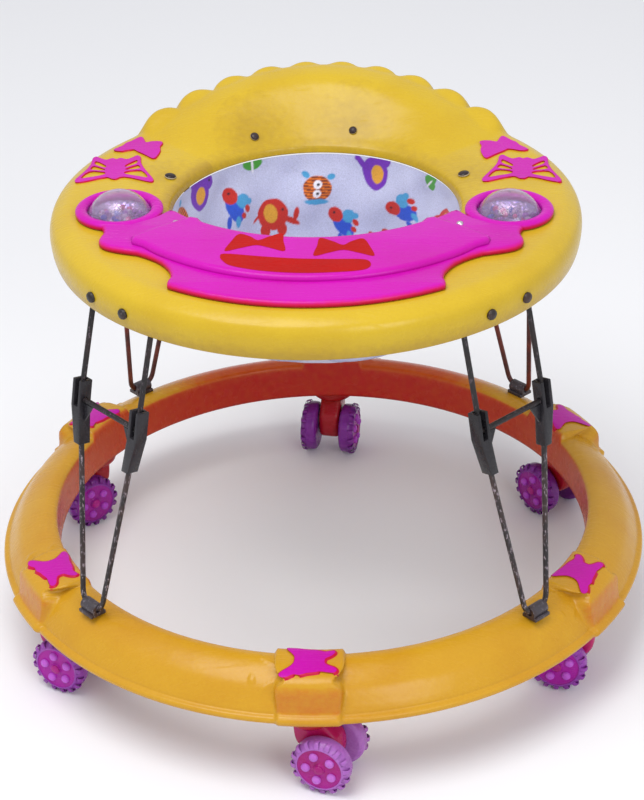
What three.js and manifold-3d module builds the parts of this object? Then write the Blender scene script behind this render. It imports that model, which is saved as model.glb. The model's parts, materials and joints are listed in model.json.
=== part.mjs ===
// Round baby walker: a moulded base ring on six twin-wheel swivel casters, four folding wire
// legs, a moulded tray shell with a fabric seat sling, and a play tray with two clear domes.
// Millimetres, +Z up, floor at z = 0, front of the walker towards -Y.
import * as THREE from "three";
import { mergeVertices } from "three/addons/utils/BufferGeometryUtils.js";
import Module from "manifold-3d";

const wasm = await Module();
wasm.setup();

// ---- driving dimensions -------------------------------------------------------------------
const gap = 0.3; // between pieces that touch or run on each other
const wall = 3; // moulded shell wall

// base ring
const ringHeight = 72; // underside above the floor
const ringOuter = 310;
const ringInner = 256;
const ringCrown = 39; // height of the ring's crest over its underside
const bossCount = 6;
const bossRaise = 5;
const bossHalfAngle = 7.2; // degrees
const casterCircle = 283; // radius of the swivel axes

// casters
const wheelRadius = 28;
const wheelWidth = 17;
const wheelGap = 24.6; // between the inner faces of a pair
const trail = 18;
const axleRadius = 2.5;
const stemRadius = 5;
const socketWall = 6;
const collarRadius = 15;
const collarHeight = 16;
const casterStops = [
  ["front", -90, -18],
  ["front_right", -30, 168],
  ["rear_right", 30, 130],
  ["rear", 90, -99],
  ["rear_left", 150, 218],
  ["front_left", 210, -26],
];

// wire legs: radius and height of each pivot, heights over the ring's underside
const wireRadius = 2.5;
const wireSides = 8;
const basePivot = { r: 281, z: 44 };
const kneePivot = { r: 246, z: 230 };
const trayPivot = { r: 221, z: 330 };
const apexHalf = 13; // half width of the lower wire at the base
const kneeHalf = 39.5; // half width at the knee and at the tray
const legAngles = { front_left: 225, front_right: -45, rear_right: 45, rear_left: 135 };

// knee clips
const clipAbove = 18;
const clipBelow = 41;
const clipDepth = 12;

// tray shell, heights over the ring's underside
const trayRadius = 236;
const skirtBottom = 318;
const deckHeight = 356;
const crownRaise = 44; // height of the backrest over the deck
const crownHalfAngle = 51; // degrees each side of the rear
const lobeCount = 10; // rounded lobes along the backrest's outer edge
const lobeSpacing = 9.9; // degrees
const lobeRaise = 7;
const seatOpening = 130; // radius of the seat opening
const seatLipHeight = 345;
const frontEdge = 99; // reach of the opening towards the front
const frontArc = 160; // radius of the opening's front edge

// play tray and domes
const playThickness = 5;
const playRadius = 217;
const playCorner = 32; // degrees each side of the front where the wide front part ends
const wingSide = 13; // reach of a dome's wing past the dome's centre, to the side
const wingFront = 79; // and to the front
const wingInside = 23; // from the dome's centre in to the wing's inner end
const domeRadius = 28;
const domeRise = 19;
const domeRing = 39;
const roundSides = 18;
const domePlace = { x: 173, y: -35 };

// seat sling
const slingWall = 2.4;
const slingBottom = 186;
const legHoleRadius = 38;
const legHoleTurn = 42; // degrees each side of the front

// shift of the ring's centre, so that the origin is the centre of the footprint: the front
// caster stands out in front of the ring
const footprintShift = 4.5;

const colours = {
  ring: 0xe0a32c,
  tray: 0xe3c33a,
  magenta: 0xcf24b8,
  wheel: 0xb021a6,
  steel: 0x3c3a40,
  clip: 0x17171a,
  fabric: 0xcbc8e4,
  clear: 0xd8d4dd,
  silver: 0xb9bcc8,
};

// ---- helpers ------------------------------------------------------------------------------
const rad = THREE.MathUtils.degToRad;
const assembly = new THREE.Group();
assembly.position.y = footprintShift;

function solid(geometry) {
  const bare = geometry.index ? geometry.toNonIndexed() : geometry.clone();
  bare.deleteAttribute("normal");
  bare.deleteAttribute("uv");
  const merged = mergeVertices(bare, 1e-3);
  return new wasm.Manifold(
    new wasm.Mesh({
      numProp: 3,
      vertProperties: merged.attributes.position.array,
      triVerts: new Uint32Array(merged.index.array),
    }),
  );
}

function geometryOf(body) {
  const mesh = body.getMesh();
  const geometry = new THREE.BufferGeometry();
  geometry.setAttribute("position", new THREE.BufferAttribute(new Float32Array(mesh.vertProperties), 3));
  geometry.setIndex(new THREE.BufferAttribute(new Uint32Array(mesh.triVerts), 1));
  geometry.computeVertexNormals();
  return geometry;
}

function join(...geometries) {
  return geometries.map(solid).reduce((sum, body) => sum.add(body));
}

function cut(body, ...geometries) {
  return geometries.map(solid).reduce((left, tool) => left.subtract(tool), body);
}

function addPiece(parent, name, shape, colour, roughness = 0.5, metalness = 0) {
  const geometry = shape.isBufferGeometry ? shape : geometryOf(shape);
  const material = new THREE.MeshStandardMaterial({ color: colour, roughness, metalness });
  const mesh = new THREE.Mesh(geometry, material);
  mesh.name = name;
  parent.add(mesh);
  return mesh;
}

// Round rod between two points.
function rod(from, to, radius, sides = 10) {
  const a = new THREE.Vector3(...from);
  const b = new THREE.Vector3(...to);
  const along = b.clone().sub(a);
  const geometry = new THREE.CylinderGeometry(radius, radius, along.length(), sides);
  geometry.applyQuaternion(
    new THREE.Quaternion().setFromUnitVectors(new THREE.Vector3(0, 1, 0), along.clone().normalize()),
  );
  geometry.translate(...a.add(b).multiplyScalar(0.5).toArray());
  return geometry;
}

function block(low, high) {
  const size = high.map((value, i) => value - low[i]);
  const geometry = new THREE.BoxGeometry(...size);
  geometry.translate(...high.map((value, i) => (value + low[i]) / 2));
  return geometry;
}

// Bent wire: rods with a ball at each bend.
function wire(points, radius) {
  const pieces = [];
  points.slice(1).forEach((point, i) => pieces.push(rod(points[i], point, radius, wireSides)));
  points.slice(1, -1).forEach((point) => {
    const ball = new THREE.SphereGeometry(radius, wireSides, 4);
    ball.translate(...point);
    pieces.push(ball);
  });
  return join(...pieces);
}

// Closed ring whose section changes with azimuth. sectionAt gives [radius, height] points that
// run counter-clockwise with radius to the right and height up.
function closedRing(azimuths, sectionAt) {
  const rows = azimuths.map((azimuth) =>
    sectionAt(azimuth).map(([r, z]) => [r * Math.cos(rad(azimuth)), r * Math.sin(rad(azimuth)), z]),
  );
  const count = rows[0].length;
  const index = [];
  rows.forEach((row, i) => {
    const next = (i + 1) % rows.length;
    row.forEach((point, j) => {
      const up = (j + 1) % count;
      const corners = [i * count + j, next * count + j, next * count + up, i * count + up];
      index.push(corners[0], corners[1], corners[2], corners[0], corners[2], corners[3]);
    });
  });
  const geometry = new THREE.BufferGeometry();
  geometry.setAttribute("position", new THREE.Float32BufferAttribute(rows.flat(2), 3));
  geometry.setIndex(index);
  return geometry;
}

// Moves each point of an open line sideways: to its left as the line runs, for a positive distance.
function offsetLine(line, distance) {
  return line.map((point, i) => {
    const before = line[Math.max(i - 1, 0)];
    const after = line[Math.min(i + 1, line.length - 1)];
    const dx = after[0] - before[0];
    const dz = after[1] - before[1];
    const length = Math.hypot(dx, dz);
    return [point[0] - (dz / length) * distance, point[1] + (dx / length) * distance];
  });
}

// Section of a shell: its outer skin, and the same line set in by the wall.
function shellSection(skin, thickness) {
  return [...skin, ...offsetLine(skin, thickness).reverse()];
}

function evenAngles(count, start = 0) {
  return Array.from({ length: count }, (_, i) => start + (360 * i) / count);
}

// Angle between an azimuth and a direction, 0 to 180 degrees.
function angleFrom(azimuth, direction) {
  return Math.abs(((((azimuth - direction) % 360) + 540) % 360) - 180);
}

// ---- base ring ----------------------------------------------------------------------------
// Inverted channel with a lip bead outside, a convex top and an upright inner wall.
const bossAngles = evenAngles(bossCount, -90);
const bossRamp = 0.8;

const ringSkin = [
  [ringOuter, 0],
  [ringOuter, 5],
  [ringOuter - 4, 6.5],
  [ringOuter - 9, 15],
  [ringOuter - 17, 26],
  [ringOuter - 29, ringCrown - 4.5],
  [ringInner + 13, ringCrown],
  [ringInner + 5, ringCrown - 0.7],
  [ringInner + 0.8, ringCrown - 5],
  [ringInner, 0],
];

// The section at an azimuth, raised on the bosses. A filled section has no hollow, and its skin
// lies deeper by the given depth.
function ringSection(azimuth, depth = 0, isFilled = false) {
  const boss = Math.min(...bossAngles.map((angle) => angleFrom(azimuth, angle)));
  const raise = boss <= bossHalfAngle - bossRamp + 0.01 ? bossRaise : 0;
  const last = ringSkin.length - 1;
  const outer = offsetLine(ringSkin, depth - raise).map(([r, z], i) => [
    i === last ? ringInner + depth : Math.max(r, ringInner + depth),
    i === 0 || i === last ? 0 : z,
  ]);
  const inner = offsetLine(ringSkin, wall);
  inner[0][1] = 0;
  inner[last][1] = 0;
  const section = isFilled ? outer : [...outer, ...inner.reverse()];
  return section.map(([r, z]) => [r, z + ringHeight]);
}

function ringAngles() {
  const spacing = 360 / bossCount;
  const plainSteps = 5;
  const plain = spacing - 2 * bossHalfAngle;
  return bossAngles.flatMap((angle) => {
    const top = bossHalfAngle - bossRamp;
    const onBoss = [-bossHalfAngle, -top, 0, top, bossHalfAngle].map((turn) => angle + turn);
    const between = Array.from(
      { length: plainSteps - 1 },
      (_, i) => angle + bossHalfAngle + (plain * (i + 1)) / plainSteps,
    );
    return [...onBoss, ...between];
  });
}

function turned(geometry, angle) {
  return geometry.rotateZ(rad(angle));
}

// Height of the ring's outside at a radius.
function ringTopAt(radius) {
  const i = ringSkin.findIndex((point, k) => k > 0 && point[0] <= radius);
  const [r0, z0] = ringSkin[i - 1];
  const [r1, z1] = ringSkin[i];
  return ringHeight + z0 + ((z1 - z0) * (r0 - radius)) / (r0 - r1);
}

const socketTop = ringHeight + ringCrown + bossRaise;
const socketBottom = ringHeight + 2;
const stemTop = ringTopAt(casterCircle + stemRadius) - wall;
const bracketFoot = 3; // radius of the rivet that holds a leg bracket to the ring

function makeRing() {
  // solid up to the middle of the wall, so that the sockets end inside it
  const filled = solid(closedRing(ringAngles(), (azimuth) => ringSection(azimuth, wall / 2, true)));
  const sockets = bossAngles.map((angle) =>
    solid(
      turned(
        rod([casterCircle, 0, socketBottom], [casterCircle, 0, socketTop], stemRadius + socketWall, 14),
        angle,
      ),
    ).intersect(filled),
  );
  const bores = bossAngles.map((angle) =>
    turned(
      rod([casterCircle, 0, 0], [casterCircle, 0, stemTop + gap], stemRadius + gap, 14),
      angle,
    ),
  );
  const feet = Object.values(legAngles).map((angle) =>
    turned(
      rod([basePivot.r, 0, ringHeight], [basePivot.r, 0, 2 * ringHeight], bracketFoot + gap, 10),
      angle,
    ),
  );
  const shell = closedRing(ringAngles(), ringSection);
  return cut(
    sockets.reduce((sum, socket) => sum.add(socket), solid(shell)),
    ...bores,
    ...feet,
  );
}
addPiece(assembly, "base_ring", makeRing(), colours.ring, 0.35);

// ---- casters ------------------------------------------------------------------------------
// Local frame of a caster: the swivel axis is at the origin, and the wheels trail along +X.
const wheelInside = wheelGap / 2;
const wheelOutside = wheelInside + wheelWidth;
const hoodHalf = wheelInside - 1.3;
const collarTop = socketBottom - gap;
const collarBottom = collarTop - collarHeight;

const hoodTail = 11; // radius of the hood round the axle
const hoodFace = 14; // height of the hood's upright front face

function makeCasterBody() {
  const hoodTop = collarBottom + 4;
  const front = 2 - collarRadius;
  const outline = new THREE.Shape();
  outline.moveTo(front, hoodTop);
  outline.lineTo(front, collarBottom - hoodFace);
  outline.lineTo(trail - hoodTail - 1, wheelRadius - 3);
  outline.absarc(trail, wheelRadius, hoodTail, rad(200), rad(360), false);
  outline.lineTo(trail + hoodTail, wheelRadius + hoodFace);
  outline.quadraticCurveTo(trail + hoodTail - 3, hoodTop - 2, collarRadius - 4, hoodTop);
  const hood = new THREE.ExtrudeGeometry(outline, {
    depth: 2 * hoodHalf,
    bevelEnabled: false,
    curveSegments: 6,
  });
  hood.translate(0, 0, -hoodHalf);
  hood.rotateX(Math.PI / 2);
  const collar = rod([0, 0, collarBottom], [0, 0, collarTop], collarRadius, 16);
  const stem = rod([0, 0, collarBottom], [0, 0, stemTop], stemRadius, 14);
  const bore = rod(
    [trail, -wheelOutside, wheelRadius],
    [trail, wheelOutside, wheelRadius],
    axleRadius + gap,
    12,
  );
  return cut(join(hood, collar, stem), bore);
}

function makeAxle() {
  const reach = wheelOutside + gap;
  const head = 2;
  return geometryOf(
    join(
      rod([trail, -reach - head / 2, wheelRadius], [trail, reach + head / 2, wheelRadius], axleRadius, 12),
      rod([trail, reach, wheelRadius], [trail, reach + head, wheelRadius], axleRadius + 2, 12),
      rod([trail, -reach - head, wheelRadius], [trail, -reach, wheelRadius], axleRadius + 2, 12),
    ),
  );
}

function makeWheel(side) {
  const bore = axleRadius + gap;
  const profile = [
    [bore, wheelInside],
    [wheelRadius - 3, wheelInside],
    [wheelRadius, wheelInside + 3],
    [wheelRadius, wheelOutside - 3],
    [wheelRadius - 3, wheelOutside],
    [bore, wheelOutside],
    [bore, wheelInside],
  ].map(([x, y]) => new THREE.Vector2(x, y));
  const geometry = new THREE.LatheGeometry(profile, 18);
  if (side < 0) geometry.rotateX(Math.PI);
  geometry.translate(trail, 0, wheelRadius);
  return geometry;
}

for (const [place, stop, heading] of casterStops) {
  const caster = new THREE.Group();
  caster.position.set(casterCircle * Math.cos(rad(stop)), casterCircle * Math.sin(rad(stop)), 0);
  caster.rotation.z = rad(heading);
  addPiece(caster, "caster_body_" + place, makeCasterBody(), colours.magenta, 0.4);
  addPiece(caster, "caster_axle_" + place, makeAxle(), colours.steel, 0.35, 1);
  addPiece(caster, "wheel_" + place + "_a", makeWheel(1), colours.wheel, 0.45);
  addPiece(caster, "wheel_" + place + "_b", makeWheel(-1), colours.wheel, 0.45);
  assembly.add(caster);
}

// ---- wire legs ----------------------------------------------------------------------------
// Local frame of a leg: +X points out from the ring's centre, +Y runs along the ring.
const baseAt = [basePivot.r, ringHeight + basePivot.z];
const kneeAt = [kneePivot.r, ringHeight + kneePivot.z];
const trayAt = [trayPivot.r, ringHeight + trayPivot.z];
const lowerLean = Math.atan2(baseAt[0] - kneeAt[0], kneeAt[1] - baseAt[1]);
const lowerLength = Math.hypot(baseAt[0] - kneeAt[0], kneeAt[1] - baseAt[1]);
const upperLean = Math.atan2(kneeAt[0] - trayAt[0], trayAt[1] - kneeAt[1]);
const slotSide = wireRadius + gap;
const slotBack = slotSide + clipAbove * Math.tan(upperLean - lowerLean) + gap;
const clipWeb = 2.2; // material behind the arm's slot
const clipSide = 3.2; // and on each side of it

// Point on the lower wire's own plane: y along the hinge, rise measured up the wire.
function onLower(y, rise, out = 0) {
  return [
    baseAt[0] - Math.sin(lowerLean) * rise + Math.cos(lowerLean) * out,
    y,
    baseAt[1] + Math.cos(lowerLean) * rise + Math.sin(lowerLean) * out,
  ];
}

const armTop = lowerLength - wireRadius * 2 - 6;
const armTopHalf = apexHalf + ((kneeHalf - apexHalf) * armTop) / lowerLength;

function makeLowerWire() {
  return wire(
    [onLower(-armTopHalf, armTop), onLower(-apexHalf, 0), onLower(apexHalf, 0), onLower(armTopHalf, armTop)],
    wireRadius,
  );
}

const pivotEnd = 20; // the upper wire's turned-in ends stop here
function makeUpperWire() {
  const half = kneeHalf;
  return wire(
    [
      [trayAt[0], -pivotEnd, trayAt[1]],
      [trayAt[0], -half, trayAt[1]],
      [kneeAt[0], -half, kneeAt[1]],
      [kneeAt[0], half, kneeAt[1]],
      [trayAt[0], half, trayAt[1]],
      [trayAt[0], pivotEnd, trayAt[1]],
    ],
    wireRadius,
  );
}

// Knee clip: a tapered moulded block that holds the top of a lower arm and the knee bar, with a
// slot open to the outside that the upper arm snaps into.
function makeClip(side) {
  const spread = (kneeHalf - apexHalf) / lowerLength;
  const tailHalf = apexHalf + spread * (lowerLength - clipBelow);
  const innerTop = kneeHalf - slotSide - clipSide;
  const outerTop = kneeHalf + slotSide + clipSide;
  const outline = new THREE.Shape();
  outline.moveTo(tailHalf - 4, lowerLength - clipBelow);
  outline.lineTo(tailHalf + 4, lowerLength - clipBelow);
  outline.lineTo(outerTop, lowerLength - 7);
  outline.lineTo(outerTop, lowerLength + clipAbove);
  outline.lineTo(innerTop, lowerLength + clipAbove);
  outline.lineTo(innerTop, lowerLength - 7);
  const body = new THREE.ExtrudeGeometry(outline, { depth: clipDepth, bevelEnabled: false });
  body.translate(0, 0, -slotBack - clipWeb);
  const slot = block(
    [kneeHalf - slotSide, lowerLength - wireRadius - 4.5, -slotBack],
    [kneeHalf + slotSide, lowerLength + clipAbove + 10, clipDepth * 2],
  );
  const barHole = rod(
    [0, lowerLength, 0],
    [kneeHalf, lowerLength, 0],
    wireRadius + gap,
    12,
  );
  const armHole = rod(
    [apexHalf, 0, 0],
    [armTopHalf + spread * gap, armTop + gap, 0],
    wireRadius + gap,
    12,
  );
  const geometry = geometryOf(cut(solid(body), slot, barHole, armHole));
  // outline axes: x along the hinge, y up the wire, z outwards
  const frame = new THREE.Matrix4().makeBasis(
    new THREE.Vector3(0, 1, 0),
    new THREE.Vector3(-Math.sin(lowerLean), 0, Math.cos(lowerLean)),
    new THREE.Vector3(Math.cos(lowerLean), 0, Math.sin(lowerLean)),
  );
  frame.setPosition(baseAt[0], 0, baseAt[1]);
  geometry.applyMatrix4(frame);
  if (side < 0) geometry.applyMatrix4(new THREE.Matrix4().makeScale(1, -1, 1));
  return geometry;
}

function mirrored(geometry) {
  const flipped = geometry.clone();
  const index = flipped.index.array;
  for (let i = 0; i < index.length; i += 3) {
    const swap = index[i + 1];
    index[i + 1] = index[i + 2];
    index[i + 2] = swap;
  }
  return flipped;
}

// Saddle on the ring that the lower wire's foot turns in, with a rivet down through the ring.
function makeBaseBracket() {
  const half = apexHalf - wireRadius - 1.2;
  const reach = 8;
  const seat = ringTopAt(basePivot.r - reach) + gap;
  const barrel = baseAt[1] - seat;
  const body = join(
    block([basePivot.r - reach, -half, seat], [basePivot.r + reach, half, seat + barrel / 2]),
    rod([baseAt[0], -half, baseAt[1]], [baseAt[0], half, baseAt[1]], barrel, 16),
    rod([basePivot.r, 0, ringHeight + ringCrown - 14], [basePivot.r, 0, baseAt[1]], bracketFoot, 10),
  );
  return cut(
    body,
    rod([baseAt[0], -2 * half, baseAt[1]], [baseAt[0], 2 * half, baseAt[1]], wireRadius + gap, 14),
  );
}

// Hanger riveted inside the tray's skirt. Its two slotted ears hold the upper wire's ends, with
// room for the small in-and-out play that the four legs have against each other as they fold.
const rivetHalf = 21.5;
const rivetRise = 3; // over the pivot
const rivetRadius = 2;
const hangerPlay = 2.4;
const hangerHalf = kneeHalf - wireRadius - 2.2;
const plateClearance = 3.4; // the flat plate stays clear of the skirt's curve
const plateOut = trayRadius - wall - plateClearance;

function makeTrayBracket() {
  const plate = block(
    [plateOut - 2, -hangerHalf + 2, trayAt[1] - 9],
    [plateOut, hangerHalf - 2, trayAt[1] + 9],
  );
  const pieces = [plate];
  const slots = [];
  for (const side of [-1, 1]) {
    const inner = side * (pivotEnd - 6);
    const outer = side * hangerHalf;
    const low = Math.min(inner, outer);
    const high = Math.max(inner, outer);
    pieces.push(
      block([trayAt[0] - 8, low, trayAt[1] - 6.5], [plateOut - 1, high, trayAt[1] + 6.5]),
    );
    const rivet = side * rivetHalf;
    const rise = trayAt[1] + rivetRise;
    pieces.push(
      rod([plateOut - 1, rivet, rise], [trayRadius + 4, rivet, rise], rivetRadius, 10),
      rod([trayRadius + 3.4, rivet, rise], [trayRadius + 5.4, rivet, rise], rivetRadius + 2.4, 12),
    );
    slots.push(
      block(
        [trayAt[0] - wireRadius - hangerPlay, Math.min(side * (pivotEnd - 3), 2 * outer), trayAt[1] - slotSide],
        [trayAt[0] + wireRadius + hangerPlay, Math.max(side * (pivotEnd - 3), 2 * outer), trayAt[1] + slotSide],
      ),
    );
  }
  return cut(join(...pieces), ...slots);
}

for (const [place, angle] of Object.entries(legAngles)) {
  const leg = new THREE.Group();
  leg.rotation.z = rad(angle);
  addPiece(leg, "lower_wire_" + place, makeLowerWire(), colours.steel, 0.4, 1);
  addPiece(leg, "upper_wire_" + place, makeUpperWire(), colours.steel, 0.4, 1);
  addPiece(leg, "knee_clip_" + place + "_a", makeClip(1), colours.clip, 0.6);
  addPiece(leg, "knee_clip_" + place + "_b", mirrored(makeClip(-1)), colours.clip, 0.6);
  addPiece(leg, "base_bracket_" + place, makeBaseBracket(), colours.steel, 0.5, 0.6);
  addPiece(leg, "tray_bracket_" + place, makeTrayBracket(), colours.steel, 0.5, 0.6);
  assembly.add(leg);
}

// ---- tray shell ---------------------------------------------------------------------------
// Share of the backrest crown at an azimuth: 1 at the rear, 0 past its ends.
function crownShare(azimuth) {
  const turn = angleFrom(azimuth, 90) / crownHalfAngle;
  return Math.max(0, 1 - turn * turn);
}

// Radius of the seat opening at an azimuth: a circle, cut by the play tray's shallow front arc.
function openingAt(azimuth) {
  const centre = frontArc - frontEdge;
  const along = centre * Math.sin(rad(azimuth));
  const across = centre * Math.cos(rad(azimuth));
  return Math.min(seatOpening, along + Math.sqrt(frontArc ** 2 - across ** 2));
}

// Height of the lobed outer edge at an azimuth: 0 in the notches and beside the lobes.
function lobeAt(azimuth) {
  const turn = ((azimuth - 90 + 540) % 360) - 180;
  const place = turn / lobeSpacing + lobeCount / 2;
  const isOutside = place <= 0 || place >= lobeCount;
  return isOutside ? 0 : lobeRaise * Math.abs(Math.sin(Math.PI * place));
}

function traySkin(azimuth) {
  const crown = crownShare(azimuth);
  const rise = crownRaise * crown;
  const lobe = lobeAt(azimuth);
  const opening = openingAt(azimuth);
  const deck = deckHeight - 1;
  return [
    [trayRadius, skirtBottom],
    [trayRadius + 3, skirtBottom + 9],
    [trayRadius + 3.5, skirtBottom + 20],
    [trayRadius + 0.5 - 2 * crown, skirtBottom + 29 + 0.25 * rise],
    [trayRadius - 6 - 6 * crown + 0.5 * lobe, deck - 3 + 0.55 * rise + 0.6 * lobe],
    [trayRadius - 14 - 9 * crown + 0.6 * lobe, deck + 0.84 * rise + 0.8 * lobe],
    [trayRadius - 32, deck + rise],
    [trayRadius - 54, deck + 0.9 * rise],
    [opening + 30, deck - 1 + 0.48 * rise],
    [opening + 13, deck - 3.5 + 0.12 * rise],
    [opening + 2, seatLipHeight + 1],
    [opening, seatLipHeight - 4],
  ];
}

function traySection(azimuth) {
  const section = shellSection(traySkin(azimuth), wall);
  return section.map(([r, z]) => [r, z + ringHeight]);
}

// Azimuths of the tray's sections: close together along the lobes, wider round the sides.
function trayAngles() {
  const stepsPerLobe = 4;
  const sideSteps = 34;
  const rest = 360 - 2 * crownHalfAngle;
  const lobeHalfAngle = (lobeCount * lobeSpacing) / 2;
  const lobes = Array.from(
    { length: lobeCount * stepsPerLobe + 1 },
    (_, i) => 90 - lobeHalfAngle + (lobeSpacing * i) / stepsPerLobe,
  );
  const sides = Array.from(
    { length: sideSteps },
    (_, i) => 90 + crownHalfAngle + (rest * i) / (sideSteps - 1),
  );
  return [...lobes, ...sides];
}

const domeSides = [
  ["left", -1],
  ["right", 1],
];
const studs = [
  ["rear_left", 116],
  ["rear_right", 78],
  ["side_left", 160],
  ["side_right", 22],
];
const studRadius = 2.4;
const studCap = 5.2;
const studStand = 1; // under the head, over the curved wall
const studPlace = 21; // out from the opening's edge, on the dished wall

// Middle of the dished wall at a stud, its height and its outward slope.
function studSpot(azimuth) {
  const skin = traySkin(azimuth);
  const [outer, inner] = [skin[8], skin[9]];
  const share = (openingAt(azimuth) + studPlace - inner[0]) / (outer[0] - inner[0]);
  const slope = Math.atan2(outer[1] - inner[1], outer[0] - inner[0]);
  return {
    r: inner[0] + share * (outer[0] - inner[0]),
    z: ringHeight + inner[1] + share * (outer[1] - inner[1]),
    slope,
  };
}

// Rod square to the dished wall at a stud, from one depth under its surface to another.
function studRod(azimuth, from, to, radius, sides) {
  const { r, z, slope } = studSpot(azimuth);
  const at = (depth) => [r + Math.sin(slope) * depth, 0, z - Math.cos(slope) * depth];
  return turned(rod(at(from), at(to), radius, sides), azimuth);
}

const cupRadius = domeRadius + 1;
const cupDepth = 9;

function domeWell(side, radius, low, high) {
  const x = side * domePlace.x;
  return rod([x, domePlace.y, low], [x, domePlace.y, high], radius, roundSides);
}

function makeTray() {
  const shell = solid(closedRing(trayAngles(), traySection));
  const deck = ringHeight + deckHeight;
  const wells = domeSides.map(([, side]) => domeWell(side, cupRadius + gap, deck - 20, deck + 20));
  const studHoles = studs.map(([, azimuth]) => studRod(azimuth, -12, 12, studRadius + gap, 12));
  const rivetHoles = Object.values(legAngles).flatMap((angle) =>
    [-rivetHalf, rivetHalf].map((y) =>
      turned(
        rod(
          [trayRadius - 20, y, trayAt[1] + rivetRise],
          [trayRadius + 20, y, trayAt[1] + rivetRise],
          rivetRadius + gap,
          10,
        ),
        angle,
      ),
    ),
  );
  return cut(shell, ...wells, ...studHoles, ...rivetHoles);
}
addPiece(assembly, "tray_shell", makeTray(), colours.tray, 0.4);

// ---- play tray ----------------------------------------------------------------------------
const playBottom = ringHeight + deckHeight + gap;
const playTop = playBottom + playThickness;

function makePlayTray() {
  const edgeX = playRadius * Math.sin(rad(playCorner));
  const edgeY = -playRadius * Math.cos(rad(playCorner));
  const { x, y } = domePlace;
  const arcCentre = frontArc - frontEdge;
  const innerY = y - 4;
  const innerX = Math.sqrt(seatOpening ** 2 - innerY ** 2);
  const arcStart = Math.atan2(innerY - arcCentre, innerX);
  const right = new THREE.Path();
  right.absarc(0, 0, playRadius, rad(-90), rad(-90 + playCorner), false);
  right.lineTo(edgeX + 1, edgeY + 24);
  right.quadraticCurveTo(edgeX + 10, edgeY + 52, x - wingInside, y - wingFront - 7);
  right.lineTo(x + 1, y - wingFront);
  right.quadraticCurveTo(x + wingSide, y - wingFront + 6, x + wingSide - 2, y - 55);
  right.lineTo(x + wingSide, y - 36);
  right.lineTo(x - wingInside, y - 20);
  right.lineTo(innerX + 6, y + 1);
  right.absarc(0, arcCentre, frontArc - 1.5, arcStart, rad(-90), true);
  const half = right.getPoints(7);
  const mirroredHalf = half
    .slice(1, -1)
    .map((point) => new THREE.Vector2(-point.x, point.y))
    .reverse();
  const plate = new THREE.ExtrudeGeometry(new THREE.Shape([...half, ...mirroredHalf]), {
    depth: playThickness,
    bevelEnabled: false,
  });
  plate.translate(0, 0, playBottom);
  const rings = domeSides.map(([, side]) => domeWell(side, domeRing, playBottom, playTop));
  const holes = domeSides.map(([, side]) =>
    domeWell(side, domeRadius + gap, playBottom - 5, playTop + 5),
  );
  return cut(join(plate, ...rings), ...holes);
}
addPiece(assembly, "play_tray", makePlayTray(), colours.magenta, 0.3);

// ---- domes and cups -----------------------------------------------------------------------
function capLine(radius, rise, steps) {
  const ball = (radius * radius + rise * rise) / (2 * rise);
  const reach = Math.asin(radius / ball);
  return Array.from({ length: steps + 1 }, (_, i) => {
    const turn = reach * (1 - i / steps);
    return new THREE.Vector2(ball * Math.sin(turn), rise - ball * (1 - Math.cos(turn)));
  });
}

function makeDome() {
  const thickness = 1.6;
  const outer = capLine(domeRadius, domeRise, 5);
  const inner = capLine(domeRadius - thickness, domeRise - thickness, 4).reverse();
  return new THREE.LatheGeometry([...inner, ...outer], roundSides);
}

// Shallow bright cup under the dome, with a flange that the play tray holds down.
function makeCup() {
  const thickness = 1.2;
  const profile = [
    [0, -cupDepth],
    [cupRadius - 6, -cupDepth],
    [cupRadius, -thickness * 2],
    [cupRadius, 0],
    [cupRadius - thickness, 0],
    [cupRadius - thickness, -thickness],
    [cupRadius - 7, thickness - cupDepth],
    [0, thickness - cupDepth],
  ].map(([x, y]) => new THREE.Vector2(x, y));
  return new THREE.LatheGeometry(profile, roundSides);
}

for (const [name, side] of domeSides) {
  const holder = new THREE.Group();
  holder.position.set(side * domePlace.x, domePlace.y, playBottom - gap);
  holder.rotation.x = Math.PI / 2;
  const dome = addPiece(holder, "dome_" + name, makeDome(), colours.clear, 0.1);
  dome.position.y = gap;
  addPiece(holder, "dome_cup_" + name, makeCup(), colours.silver, 0.2, 1);
  assembly.add(holder);
}

// ---- seat sling ---------------------------------------------------------------------------
// Cloth bowl under the opening. Its top edge lies behind the opening's lip, and it has two leg
// holes at the front with a strip of cloth between them.
function slingLine(azimuth) {
  const opening = openingAt(azimuth);
  const front = opening / seatOpening;
  const lip = seatLipHeight - 4 - 1.2;
  const floorRise = 26 * Math.max(0, -Math.sin(rad(azimuth)));
  return [
    [opening + 2.2, lip],
    [opening * 0.985, lip - 18],
    [opening * 0.93, lip - 44],
    [opening * (0.87 + 0.02 * front), lip - 76],
    [opening * 0.8, lip - 106],
    [opening * 0.66, slingBottom + 22 + floorRise],
    [opening * 0.42, slingBottom + 8 + floorRise * 0.7],
    [opening * 0.18, slingBottom + 1 + floorRise * 0.25],
  ];
}

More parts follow.
